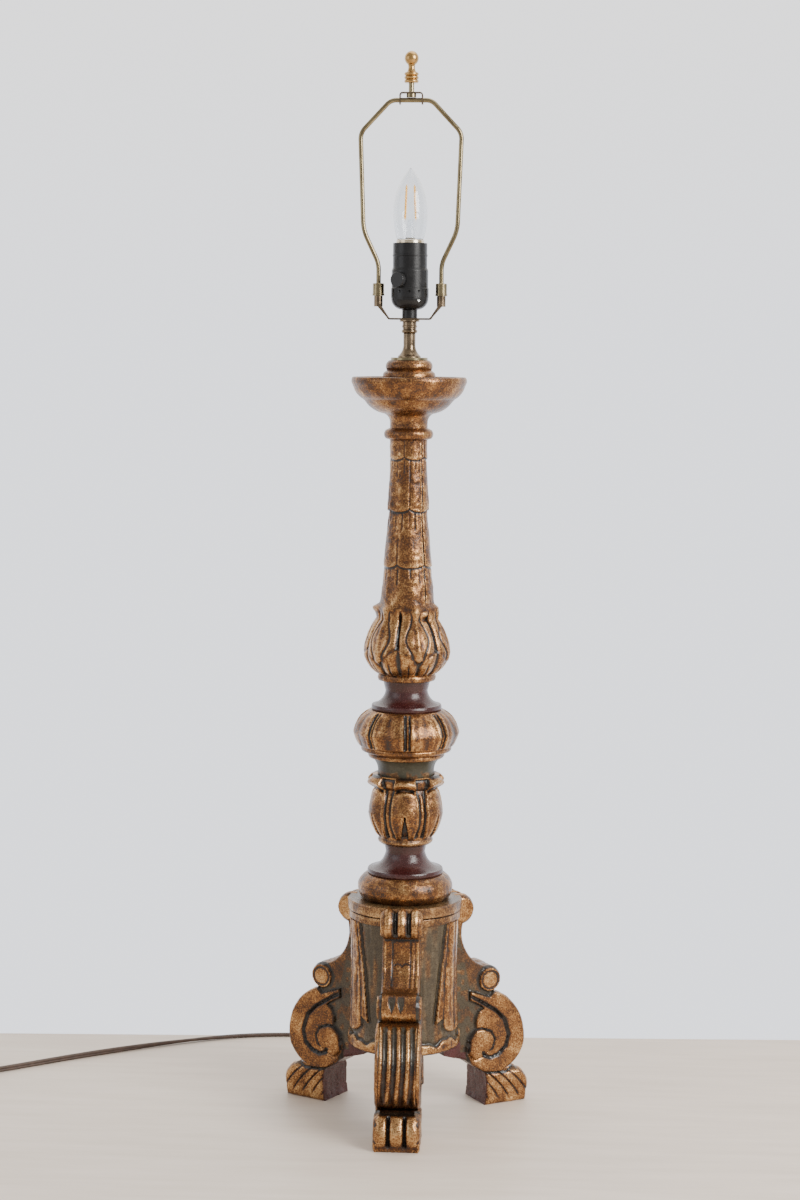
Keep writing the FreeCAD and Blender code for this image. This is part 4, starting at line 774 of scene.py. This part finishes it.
def makePlinth():
    lathe("plinthCarving", [
        (26, 76), (57.2, 76), (58, 77), (57, 213.5, 55.5, 150), (20, 213.5)],
        "gilt_wood", nodes=["plinth_body"], spacing=0.95, around=360, wobble=0.35, seed=21,
        carve=plinthCarving, gild=plinthGild, sharp=60,
        red=lambda p: (p[:, 2] < 76.6) * 1.0)
    lathe("plinthCapTurning", [
        (20, 213.5), (58.4, 213.5), (59, 214.3), (59, 221.2), (58.4, 221.8), (60, 222.6),
        (60.3, 232), (58.8, 233.4), (30, 233.4)], "gilt_wood", nodes=["plinth_cap"], around=240,
        wobble=0.3, seed=22, carve=lambda t, r, z: -0.9 * bell(z - 222, 0.8),
        gild=lambda p: 0.72 - 0.47 * ((p[:, 2] > 233.1) & (np.hypot(p[:, 0], p[:, 1]) < 58)))


# scroll legs: (distance from the stem axis, height) seen from the side
legShape = {
    "outline": [(46.4, 233.2), (57.5, 233.2), (60.5, 202, 73.3, 217.5),
                (88, 152.4, 64.5, 172), (98, 124.6, 106.5, 138), (135.5, 73, 124.5, 105.5),
                (111, 37.5, 128, 49), (139, 13, 130, 35), (137.2, 0), (87, 0),
                (88, 35.5, 89, 19), (70.6, 47, 79.3, 40.5), (64, 52), (38, 60), (38, 75.9),
                (46.4, 75.9), (46.4, 233.2)],
    "band": [(68, 129), (70, 127.5), (92, 119.5), (98, 126), (113, 120), (126, 108), (136, 92),
             (142, 72), (138, 54), (128, 42), (112, 34), (86, 36), (70.6, 45), (63, 62), (66, 77),
             (75, 86), (75, 97), (79, 105), (84, 108), (78, 112), (68, 117)],
    "groove": [(71, 121), (79, 116.5), (86, 112), (99, 104), (110, 93), (115.7, 76),
               (112.5, 63), (103.6, 55), (94, 52), (86, 54.7), (84, 58.5)],
    "eye": [(75, 85), (82.5, 85.7), (93.6, 81.3), (98.7, 72.7), (95.8, 63), (89, 57), (84, 54),
            (74, 51), (66, 60), (68, 76)],
    "volute": (92.5, 138.0, 13.2), "topRoll": (59.5, 217.5, 13.0),
    "board": 20.0, "grain": 1.35, "columns": 61}


# Distance from each point to a polyline.
def farFrom(points, line, closed=False):
    line = np.array(line, float)
    ends = np.roll(line, -1, 0) if closed else line[1:]
    starts = line if closed else line[:-1]
    best = np.full(len(points), 1e9)
    for a, b in zip(starts, ends):
        along = np.clip((points - a) @ (b - a) / ((b - a) @ (b - a) + 1e-9), 0, 1)
        best = np.minimum(best, np.linalg.norm(points - a - along[:, None] * (b - a), axis=1))
    return best


# Whether each point lies within a closed polyline, by counting crossings.
def inShape(points, shape):
    inside = np.zeros(len(points), dtype=bool)
    for (x0, y0), (x1, y1) in zip(shape, np.roll(np.array(shape, float), -1, 0)):
        over = (y0 > points[:, 1]) != (y1 > points[:, 1])
        at = x0 + (points[:, 1] - y0) * (x1 - x0) / (y1 - y0 + 1e-12)
        inside ^= over & (points[:, 0] < at)
    return inside


# 0 outside a closed polyline, rising to 1 within ramp of its edge.
def raised(points, shape, slope=1.6):
    far = farFrom(points, shape, closed=True) * np.where(inShape(points, shape), 1, -1)
    return smooth(far, -0.2, slope)


# Half width of the leg, painted shade and highlight of each spot, gilding and maroon paint.
def legSide(points, seed):
    r, z = points[:, 0], points[:, 1]
    far = farFrom(points, traceLine(legShape["outline"], 3.0), closed=True)
    band = raised(points, legShape["band"])
    eye = raised(points, legShape["eye"], 2.4)
    x, y, size = legShape["volute"]
    toVolute = np.hypot(r - x, z - y)
    volute = 1 - smooth(toVolute, size - 1.2, size + 0.2)
    x, y, size = legShape["topRoll"]
    roll = (1 - smooth(np.hypot(r - x, z - y), size - 1, size + 0.2)) * (r > 50)
    paw = (1 - smooth(z, 33.5, 36.5)) * smooth(r, 84, 86)
    groove = bell(farFrom(points, legShape["groove"]), 1.5)
    inner = bell(farFrom(points, np.array(legShape["groove"]) * 0.93 + np.array([4.2, 9.6])), 0.9)
    w = legShape["board"] + 3.2 * band + 1.6 * eye * band + 2.6 * volute + 1.6 * roll
    w = np.maximum(w, legShape["board"] + 3.9 * paw)
    w -= band * (2.3 * groove + 0.35 * inner)
    w -= volute * 0.9 * bell(toVolute - legShape["volute"][2] + 3.6, 0.9)
    w -= 1.4 * bell(np.abs(farFrom(points, legShape["eye"], closed=True)), 1.1) * band * (1 - paw)
    toes = bell(wrapped(r + 0.35 * z + 0.012 * z * z - 106, 12.5), 0.9) * smooth(z, 3, 12)
    w -= paw * toes * 1.4
    w -= paw * 1.2 * (1 - smooth(np.abs(z - 34), 0, 2.5))
    board = (1 - band) * (1 - volute) * (1 - roll) * (1 - paw)
    w -= board * 0.5 * bell((z - 0.9 * r) % 16 - 8, 1.3)
    spots = np.stack([r, z, 0 * r], axis=1)
    w += 0.35 * lumps(spots, 8.0, seed) + 0.2 * lumps(spots, 3.2, seed + 1)
    w -= 2.0 * (1 - smooth(far, 0.0, 2.6)) ** 2 * (r > 52)
    # painted shade in the grooves, between the toes, on the plain board and at the feet of raised
    # parts; the raised volute, roll and band get a painted highlight
    shape = 2.3 * groove * band + toes * paw * 0.9 + 0.3 * board
    shape += 1.3 * bell(farFrom(points, legShape["band"], closed=True), 1.2) * (1 - band)
    shape += 1.1 * bell(farFrom(points, legShape["eye"], closed=True), 1.1) * band * (z > 60)
    shape += volute * bell(toVolute - legShape["volute"][2] + 3.6, 0.9)
    shape += 1.1 * bell(toVolute - legShape["volute"][2] - 1.0, 1.2)
    cut = np.clip(shape - 0.25 + 0.20 * np.clip(band + 0.4 * paw, 0, 1), -0.3, 1)
    upper = smooth(z, 128, 140) * smooth(r + 0.22 * z, 96, 99)
    gild = np.clip(band + volute + roll + paw + 0.8 * upper, 0, 1)
    gild = np.maximum(gild, 0.6 * (lumps(spots, 6.0, 77) > 0.25))
    red = ((z < 62) & (r < 64)) | ((z < 74) & (r < 58)) | ((z < 34.5) & (r < 89.2))
    return w, cut, gild, red * 1.0


# heights along the front of a leg, and the lines across it as (place, depth, half width)
legFace = {
    "rollFoot": 202.5, "rollRib": 1.1, "rollLines": ((-6.0, 2.4, 1.7), (8.0, 2.4, 1.7)),
    "strap": (155, 158, 198, 201), "strapLines": ((-9.2, 1.0, 0.8), (9.6, 1.0, 0.8), (14, 0.7, 0.7)),
    "scallop": 174, "lip": (125, 128, 149, 153), "drops": (-7.5, 2.0), "dropWide": 3.4,
    "flutes": (37.5, 42, 119, 123.5), "fluteWide": 9.4, "fluteDeep": 3.0, "fluteEdge": 19.3,
    "pawTop": 34, "shelf": 37.2, "toeLine": 8.4, "toeDeep": 3.6, "toeMiddle": 16.5, "toeRound": 0.035}


# Height added along the outward direction on the leg's front: ribs on the top roll, a framed
# strap, the lip with two drops, four flutes, the toes.
def legFront(r, z, y, out):
    facing = smooth(out[:, 0] * 0.8 + out[:, 1] * 0.5, 0.0, 0.3) * (r > 52)
    roll = smooth(z, 203, 207) * facing
    relief = roll * legFace["rollRib"] * np.cos(y * 0.45)
    relief -= 2.4 * bell(z - legFace["rollFoot"], 2.2) * facing
    strap = window(z, *legFace["strap"]) * facing
    for region, lines in ((roll, "rollLines"), (strap, "strapLines")):
        for at, deep, wide in legFace[lines]:
            relief -= region * deep * bell(y - at, wide)
    relief += strap * 0.6 * smooth(np.abs(y), 15.5, 17)
    arch = legFace["scallop"] + 2.6 * np.abs(np.sin((y - 0.8) * 0.36))
    relief -= strap * 1.2 * bell(z - arch, 0.9) * (1 - smooth(np.abs(y - 0.8), 8.0, 9.0))
    lip = window(z, *legFace["lip"]) * facing
    for at in legFace["drops"]:
        width = legFace["dropWide"] * smooth(z, 134, 147)
        relief -= lip * 1.3 * (1 - smooth(np.abs(y - at), width - 0.6, width + 0.6)) * (z > 134)
    relief += lip * 0.9 * bell(z - 131, 4.0)
    low = window(z, *legFace["flutes"]) * facing
    sway = y + 1.5 * np.sin(z * 0.05)
    flute = 0.5 - 0.5 * np.cos(sway * 2 * math.pi / legFace["fluteWide"])
    inner = 1 - smooth(np.abs(y), 18.2, 19.4)
    relief += low * (inner * (0.9 - legFace["fluteDeep"] * flute) + 0.4 * (1 - inner))
    relief -= low * 1.2 * bell(np.abs(y) - legFace["fluteEdge"], 0.7)
    relief -= 1.6 * bell(z - legFace["shelf"], 1.3) * facing
    paw = (1 - smooth(z, legFace["pawTop"], 36.5)) * facing
    toe = np.abs(y)
    fromMiddle = np.where(toe > legFace["toeLine"], toe - legFace["toeMiddle"], toe)
    relief += paw * smooth(z, 0, 9) * (1.6 - legFace["toeDeep"] * bell(toe - legFace["toeLine"], 1.7)
                                       - legFace["toeRound"] * fromMiddle ** 2)
    relief += paw * (1.1 * bell(z - 19, 9) - 1.6 * bell(z - 4, 5))
    return relief


def makeLeg(name, node, azimuth, seed):
    outline = traceLine(legShape["outline"], legShape["grain"])[:-1]
    count = len(outline)
    low, high = outline.min(0), outline.max(0)
    rows = np.mgrid[low[0]:high[0]:legShape["grain"], low[1]:high[1]:legShape["grain"]]
    inner = rows.reshape(2, -1).T
    keep = inShape(inner, outline) & (farFrom(inner, outline, closed=True) > 0.75)
    flat = np.concatenate([outline, inner[keep]])
    found = delaunay_2d_cdt([Vector(point) for point in flat.tolist()], [],
                            [list(range(count))], 1, 1e-5)
    flat = np.array([tuple(point) for point in found[0]])
    faces = [list(face) for face in found[2]]
    w, cut, gild, red = legSide(flat, seed)
    # the band across the leg joins the two sides along the outline
    columns = np.linspace(-1, 1, legShape["columns"])
    along = np.roll(outline, -1, 0) - np.roll(outline, 1, 0)
    out = np.stack([-along[:, 1], along[:, 0]], axis=1)
    out /= np.linalg.norm(out, axis=1)[:, None]
    edgeW = w[:count]
    y = columns[None, :] * edgeW[:, None]
    r = np.repeat(outline[:, :1], len(columns), 1)
    z = np.repeat(outline[:, 1:], len(columns), 1)
    spread = np.repeat(out[:, None, :], len(columns), 1).reshape(-1, 2)
    relief = legFront(r.ravel(), z.ravel(), y.ravel(), spread)
    spots = np.stack([r.ravel(), y.ravel(), z.ravel()], axis=1)
    rough = 0.35 * lumps(spots, 8.0, seed + 5) + 0.22 * lumps(spots, 3.0, seed + 6)
    fade = (1 - np.abs(np.repeat(columns[None], count, 0).ravel()) ** 12)
    total = ((relief + rough) * fade * (r.ravel() > 50)).reshape(r.shape)
    bandR = r + total * out[:, None, 0]
    bandZ = np.maximum(z + total * out[:, None, 1], 0.0)
    bandPoints = np.stack([bandR, y, bandZ], axis=-1)[:, 1:-1].reshape(-1, 3)
    sides = [np.stack([flat[:, 0], sign * w, flat[:, 1]], axis=1) for sign in (-1, 1)]
    points = np.concatenate([*sides, bandPoints])
    sheet, inside = len(flat), len(columns) - 2
    index = 2 * sheet + np.arange(count * inside).reshape(count, inside)
    table = np.concatenate([np.arange(count)[:, None], index,
                            np.arange(count)[:, None] + sheet], axis=1)
    following = np.roll(table, -1, 0)
    band = np.stack([table[:, :-1], table[:, 1:], following[:, 1:], following[:, :-1]], axis=-1)
    sideOne = [face[::-1] for face in faces]
    sideTwo = [[spot + sheet for spot in face] for face in faces]
    allFaces = sideOne + sideTwo + band.reshape(-1, 4).tolist()
    flatRelief = (relief.reshape(r.shape))[:, 1:-1].ravel()
    # painted shade in the hollows of the leg's front and painted highlight on its raised parts, faded
    # out near the floor and lessened over the flutes
    bandReliefShading = np.clip(-flatRelief / 2.1, -0.22, 1)
    level = z[:, 1:-1].ravel()
    bandReliefShading *= smooth(level, 1, 9)
    bandReliefShading *= 1 - 0.6 * window(level, 38, 44, 74, 92) * (bandReliefShading > 0)
    bandGild = np.repeat(gild[:count, None], inside, 1).ravel()
    facing = (out[:, 0] + 0.6 * out[:, 1] > 0.05) | (outline[:, 0] > 112)
    ahead = np.repeat(facing[:, None], inside, 1).ravel()
    bandGild = np.where(ahead, 1.0, bandGild)
    painted = window(level, 84, 104, 120, 124) * ahead
    bandGild = np.where(painted * smooth(bandReliefShading, 0.0, 0.5) > 0.3, 0.1, bandGild)
    drops = window(level, 134, 136, 148, 152) * ahead
    bandGild = np.where(drops * smooth(bandReliefShading, 0.3, 0.6) > 0.4, 0.1, bandGild)
    bandRed = np.where(ahead, 0.0, np.repeat(red[:count, None], inside, 1).ravel())
    under = ((out[:, 1] < -0.3) & (outline[:, 0] < 111))[:, None].repeat(inside, 1).ravel()
    under &= level < 76
    bandRed = np.where(under, 1.0, bandRed)
    piece = meshPiece(name, aboutStem(points, math.radians(azimuth)), allFaces, 55,
                      cut=np.concatenate([cut, cut, bandReliefShading]),
                      gild=np.concatenate([gild, gild, bandGild]),
                      red=np.concatenate([red, red, bandRed]))
    dress(piece, "gilt_wood", "candlestick", [node])


def makeLegs():
    for name, node, azimuth, seed in (("frontLeg", "leg_front", -90, 31),
                                      ("rightLeg", "leg_right", 30, 51),
                                      ("leftLeg", "leg_left", 150, 71)):
        makeLeg(name, node, azimuth, seed)
    print("legs", len(bpy.data.meshes["frontLeg"].polygons))


# metal and moulded parts of the head; outlines as for the stem
headParts = [  # piece, slot, body, node, outline
    ("checkRingTurning", "antique_brass", "candlestick", "check_ring",
     [(4.95, 799.8), (19, 799.8), (19.2, 800), (19.2, 802.2), (18.8, 802.6), (4.95, 802.6)]),
    ("brassNeckTurning", "bronze", "candlestick", "brass_neck",
     [(4.95, 802.6), (11.9, 802.6), (11.9, 804), (11.5, 804.4), (6.3, 817, 8, 808.8),
      (6.3, 827.2), (6, 827.6), (4.95, 827.6)]),
    ("neckCollarTurning", "bronze", "candlestick", "neck_collar",
     [(4.95, 827.6), (7, 827.6), (7, 831.6, 8.2, 829.6), (6.9, 832.3), (7.3, 832.6),
      (7.3, 833.6), (7.9, 834), (7.9, 835.4), (7.3, 835.8), (7.3, 839), (7, 839.4),
      (4.95, 839.4)]),
    ("saddleWasherTurning", "bronze", "candlestick", "saddle_washer",
     [(4.95, 839.4), (10, 839.4), (10.2, 839.7), (10.2, 841.2), (9.9, 841.5), (4.95, 841.5)]),
    ("socketCapMoulding", "black_moulding", "candlestick", "socket_cap",
     [(4.95, 843), (7.7, 843), (7.9, 843.2), (7.9, 851.2), (8.6, 851.9), (19.2, 864, 15.9, 855.3),
      (17.4, 864)]),
    ("socketBodyMoulding", "black_moulding", "candlestick", "socket_body",
     [(17.1, 864), (19.3, 864), (19.5, 864.3), (19.5, 873.6), (18.9, 874.2), (18.9, 892),
      (17.9, 894.5), (17.1, 894.5)]),
    ("socketSleeveMoulding", "black_moulding", "candlestick", "socket_sleeve",
     [(16.8, 894.5), (17.7, 894.5), (17.7, 906.3), (18.2, 906.7), (18.2, 908.1),
      (17.7, 908.5), (17.7, 919.6), (17.4, 920), (14.9, 920), (14.6, 919.7), (14.6, 893.6)]),
    ("finialTurning", "polished_brass", "finial", "finial",
     [(2.9, 1090), (2.9, 1082.5), (6.6, 1082.5), (6.6, 1085.5, 7.4, 1084), (6, 1085.9),
      (6.6, 1086.3), (6.6, 1089.2, 7.4, 1087.8), (6, 1089.6), (6.6, 1090),
      (6.2, 1093, 7.4, 1091.6), (4.8, 1093.6), (3.8, 1101, 3.4, 1097.5),
      (0.6, 1114.7, 7.2, 1107.5), (0.1, 1114.7)]),
    ("shadeStudTurning", "antique_brass", "stud", "shade_stud",
     [(0.2, 1067.7), (4.8, 1067.7), (5, 1067.9), (5, 1071.4), (4.7, 1071.7), (2.8, 1071.7),
      (2.8, 1090.6), (2.4, 1091), (0.2, 1091)]),
    ("bulbBaseSpinning", "pale_brass", "bulb", "bulb_base",
     [(8, 899), (12.9, 899), (13.1, 899.2), (13.1, 920.1), (14.3, 920.1), (14.3, 922.8),
      (13.9, 923.2), (12.6, 923.2), (12.6, 917)]),
    ("bulbGlassBlowing", "clear_glass", "bulb", "bulb_glass",
     [(0.1, 995.6), (0.6, 995.6), (4.4, 990.6), (16.5, 949, 13.3, 973),
      (11.6, 923.3, 15.6, 935), (11.6, 917.2), (12.4, 917.2), (12.4, 923.3), (13.4, 923.6),
      (17.3, 949, 16.4, 935), (5.2, 990.6, 14.1, 973), (0.6, 996.4, 2.1, 994.6),
      (0.1, 996.4)])]

ferrule = [(3.45, 866), (6.25, 866), (6.25, 868), (5.9, 868.3), (5.9, 878.2),
           (5.3, 878.8), (2.6, 878.8), (2.6, 873.2), (3.45, 873), (3.45, 866.6)]
harp = {"corners": [(32.5, 873.4), (32.5, 899), (48.5, 933), (52, 1032), (21, 1065)],
        "bends": [30, 45, 16, 13], "wire": 2.45,
        "strap": [(11.45, 1060.5), (11.45, 1072.45)], "strapBend": 2.6,
        "strapWide": 4.0, "strapThick": 0.75,
        "saddle": [(31.5, 857.5), (21.6, 842.35)], "saddleBend": 3.0, "saddleWide": 4.8,
        "saddleThick": 0.95}
switch = {"azimuth": -119.0, "height": 882.0,
          "knob": [(1.2, 20.3), (7.5, 20.3), (8, 20.8), (8, 24.9), (7.4, 25.6), (0.2, 25.6)]}


# Lays a turned piece along the switch's axis, which points out from the stem.
def knobPlace(points):
    x, y, z = points.T
    laid = np.stack([z, y, switch["height"] - x], axis=1)
    return aboutStem(laid, math.radians(switch["azimuth"]))


# Twelve small round dimples around the socket's lower band.
def vents(turn, radius, height):
    across = wrapped(turn - math.radians(switch["azimuth"]), math.pi / 6) * 19.5
    return -1.3 * (1 - smooth(np.hypot(across, height - 870.6), 0.7, 1.15))


# A path that is the same left and right, from the left foot to the right foot.
def mirroredPath(corners, bends, spacing):
    left = [(-x, 0, z) for x, z in corners]
    right = [(x, 0, z) for x, z in reversed(corners)]
    return runningPath(left + right, bends + bends[::-1], spacing)


filaments = {"side": 5.6, "deep": 2.1, "low": 943.5, "long": 36.0, "lean": 1.5, "leanDeep": 0.4,
             "thick": 0.95, "around": 12,
             "steps": [(0.0, 0.25), (0.03, 0.25), (0.05, 1), (0.95, 1), (0.97, 0.25), (1.0, 0.25)]}


# Four upright coated strips in two pairs that lean together, on thin wire ends. Each is a
# ring scaled and shifted along its steps of (share of the length, share of the thickness).
def makeFilaments():
    share, size = np.array(filaments["steps"]).T
    ring = ringSection(filaments["thick"], filaments["around"])
    points, faces = [], []
    for side in (-1, 1):
        for deep in (-1, 1):
            x = side * (filaments["side"] - filaments["lean"] * share) + ring[:, :1] * size
            y = deep * (filaments["deep"] - filaments["leanDeep"] * share) + ring[:, 1:] * size
            z = np.broadcast_to(filaments["low"] + filaments["long"] * share, x.shape)
            faces += [[spot + x.size * len(points) for spot in face] for face in tubeFaces(*x.shape)]
            points.append(np.stack([x, y, z], axis=-1).reshape(-1, 3))
    piece = meshPiece("filamentStrips", np.concatenate(points), faces, 50)
    dress(piece, "amber_filament", "bulb", ["bulb_filaments"])


def makeHead():
    for name, slot, body, node, steps in headParts:
        vented = node == "socket_body"
        lathe(name, steps, slot, body, [node], spacing=0.5 if vented else 0.8,
              around=480 if vented else 112, carve=vents if vented else None)
    for side, at in (("left", -32.5), ("right", 32.5)):
        lathe(side + "FerruleTurning", ferrule, "antique_brass", side + "_ferrule",
              ["ferrule_" + side], around=72, ring=True,
              put=lambda p, at=at: p + np.array([at, 0, 0]))
    lathe("knobMoulding", switch["knob"], "black_moulding", "switch", ["switch_knob"],
          around=144, spacing=0.5, put=knobPlace,
          carve=lambda t, r, z: 0.18 * np.cos(24 * t) * (r > 7.95))
    wire = mirroredPath(harp["corners"], harp["bends"], 1.6)
    forward = np.repeat(np.array([[0.0, 1.0, 0.0]]), len(wire), axis=0)
    sweep("harpWireBending", wire, ringSection(harp["wire"]), forward, "antique_brass", "harp",
          ["harp_wire"])
    for name, part, body, nodes, spacing in (
            ("bracketBending", "strap", "harp", ["harp_bracket"], 0.3),
            ("saddleStrap", "saddle", "candlestick", [], 0.4)):
        path = mirroredPath(harp[part], [harp[part + "Bend"]], spacing)
        wide, thick = harp[part + "Wide"], harp[part + "Thick"]
        section = np.array([(wide, -thick), (wide, thick), (-wide, thick), (-wide, -thick)])
        sweep(name, path, section, forward[:1].repeat(len(path), 0), "bronze", body, nodes)
    makeFilaments()
    print("head")


makeCamera()
makeStage()
makeLights()
finishNodes()
makeCord()
makeStem()
makePlinth()
makeLegs()
makeHead()
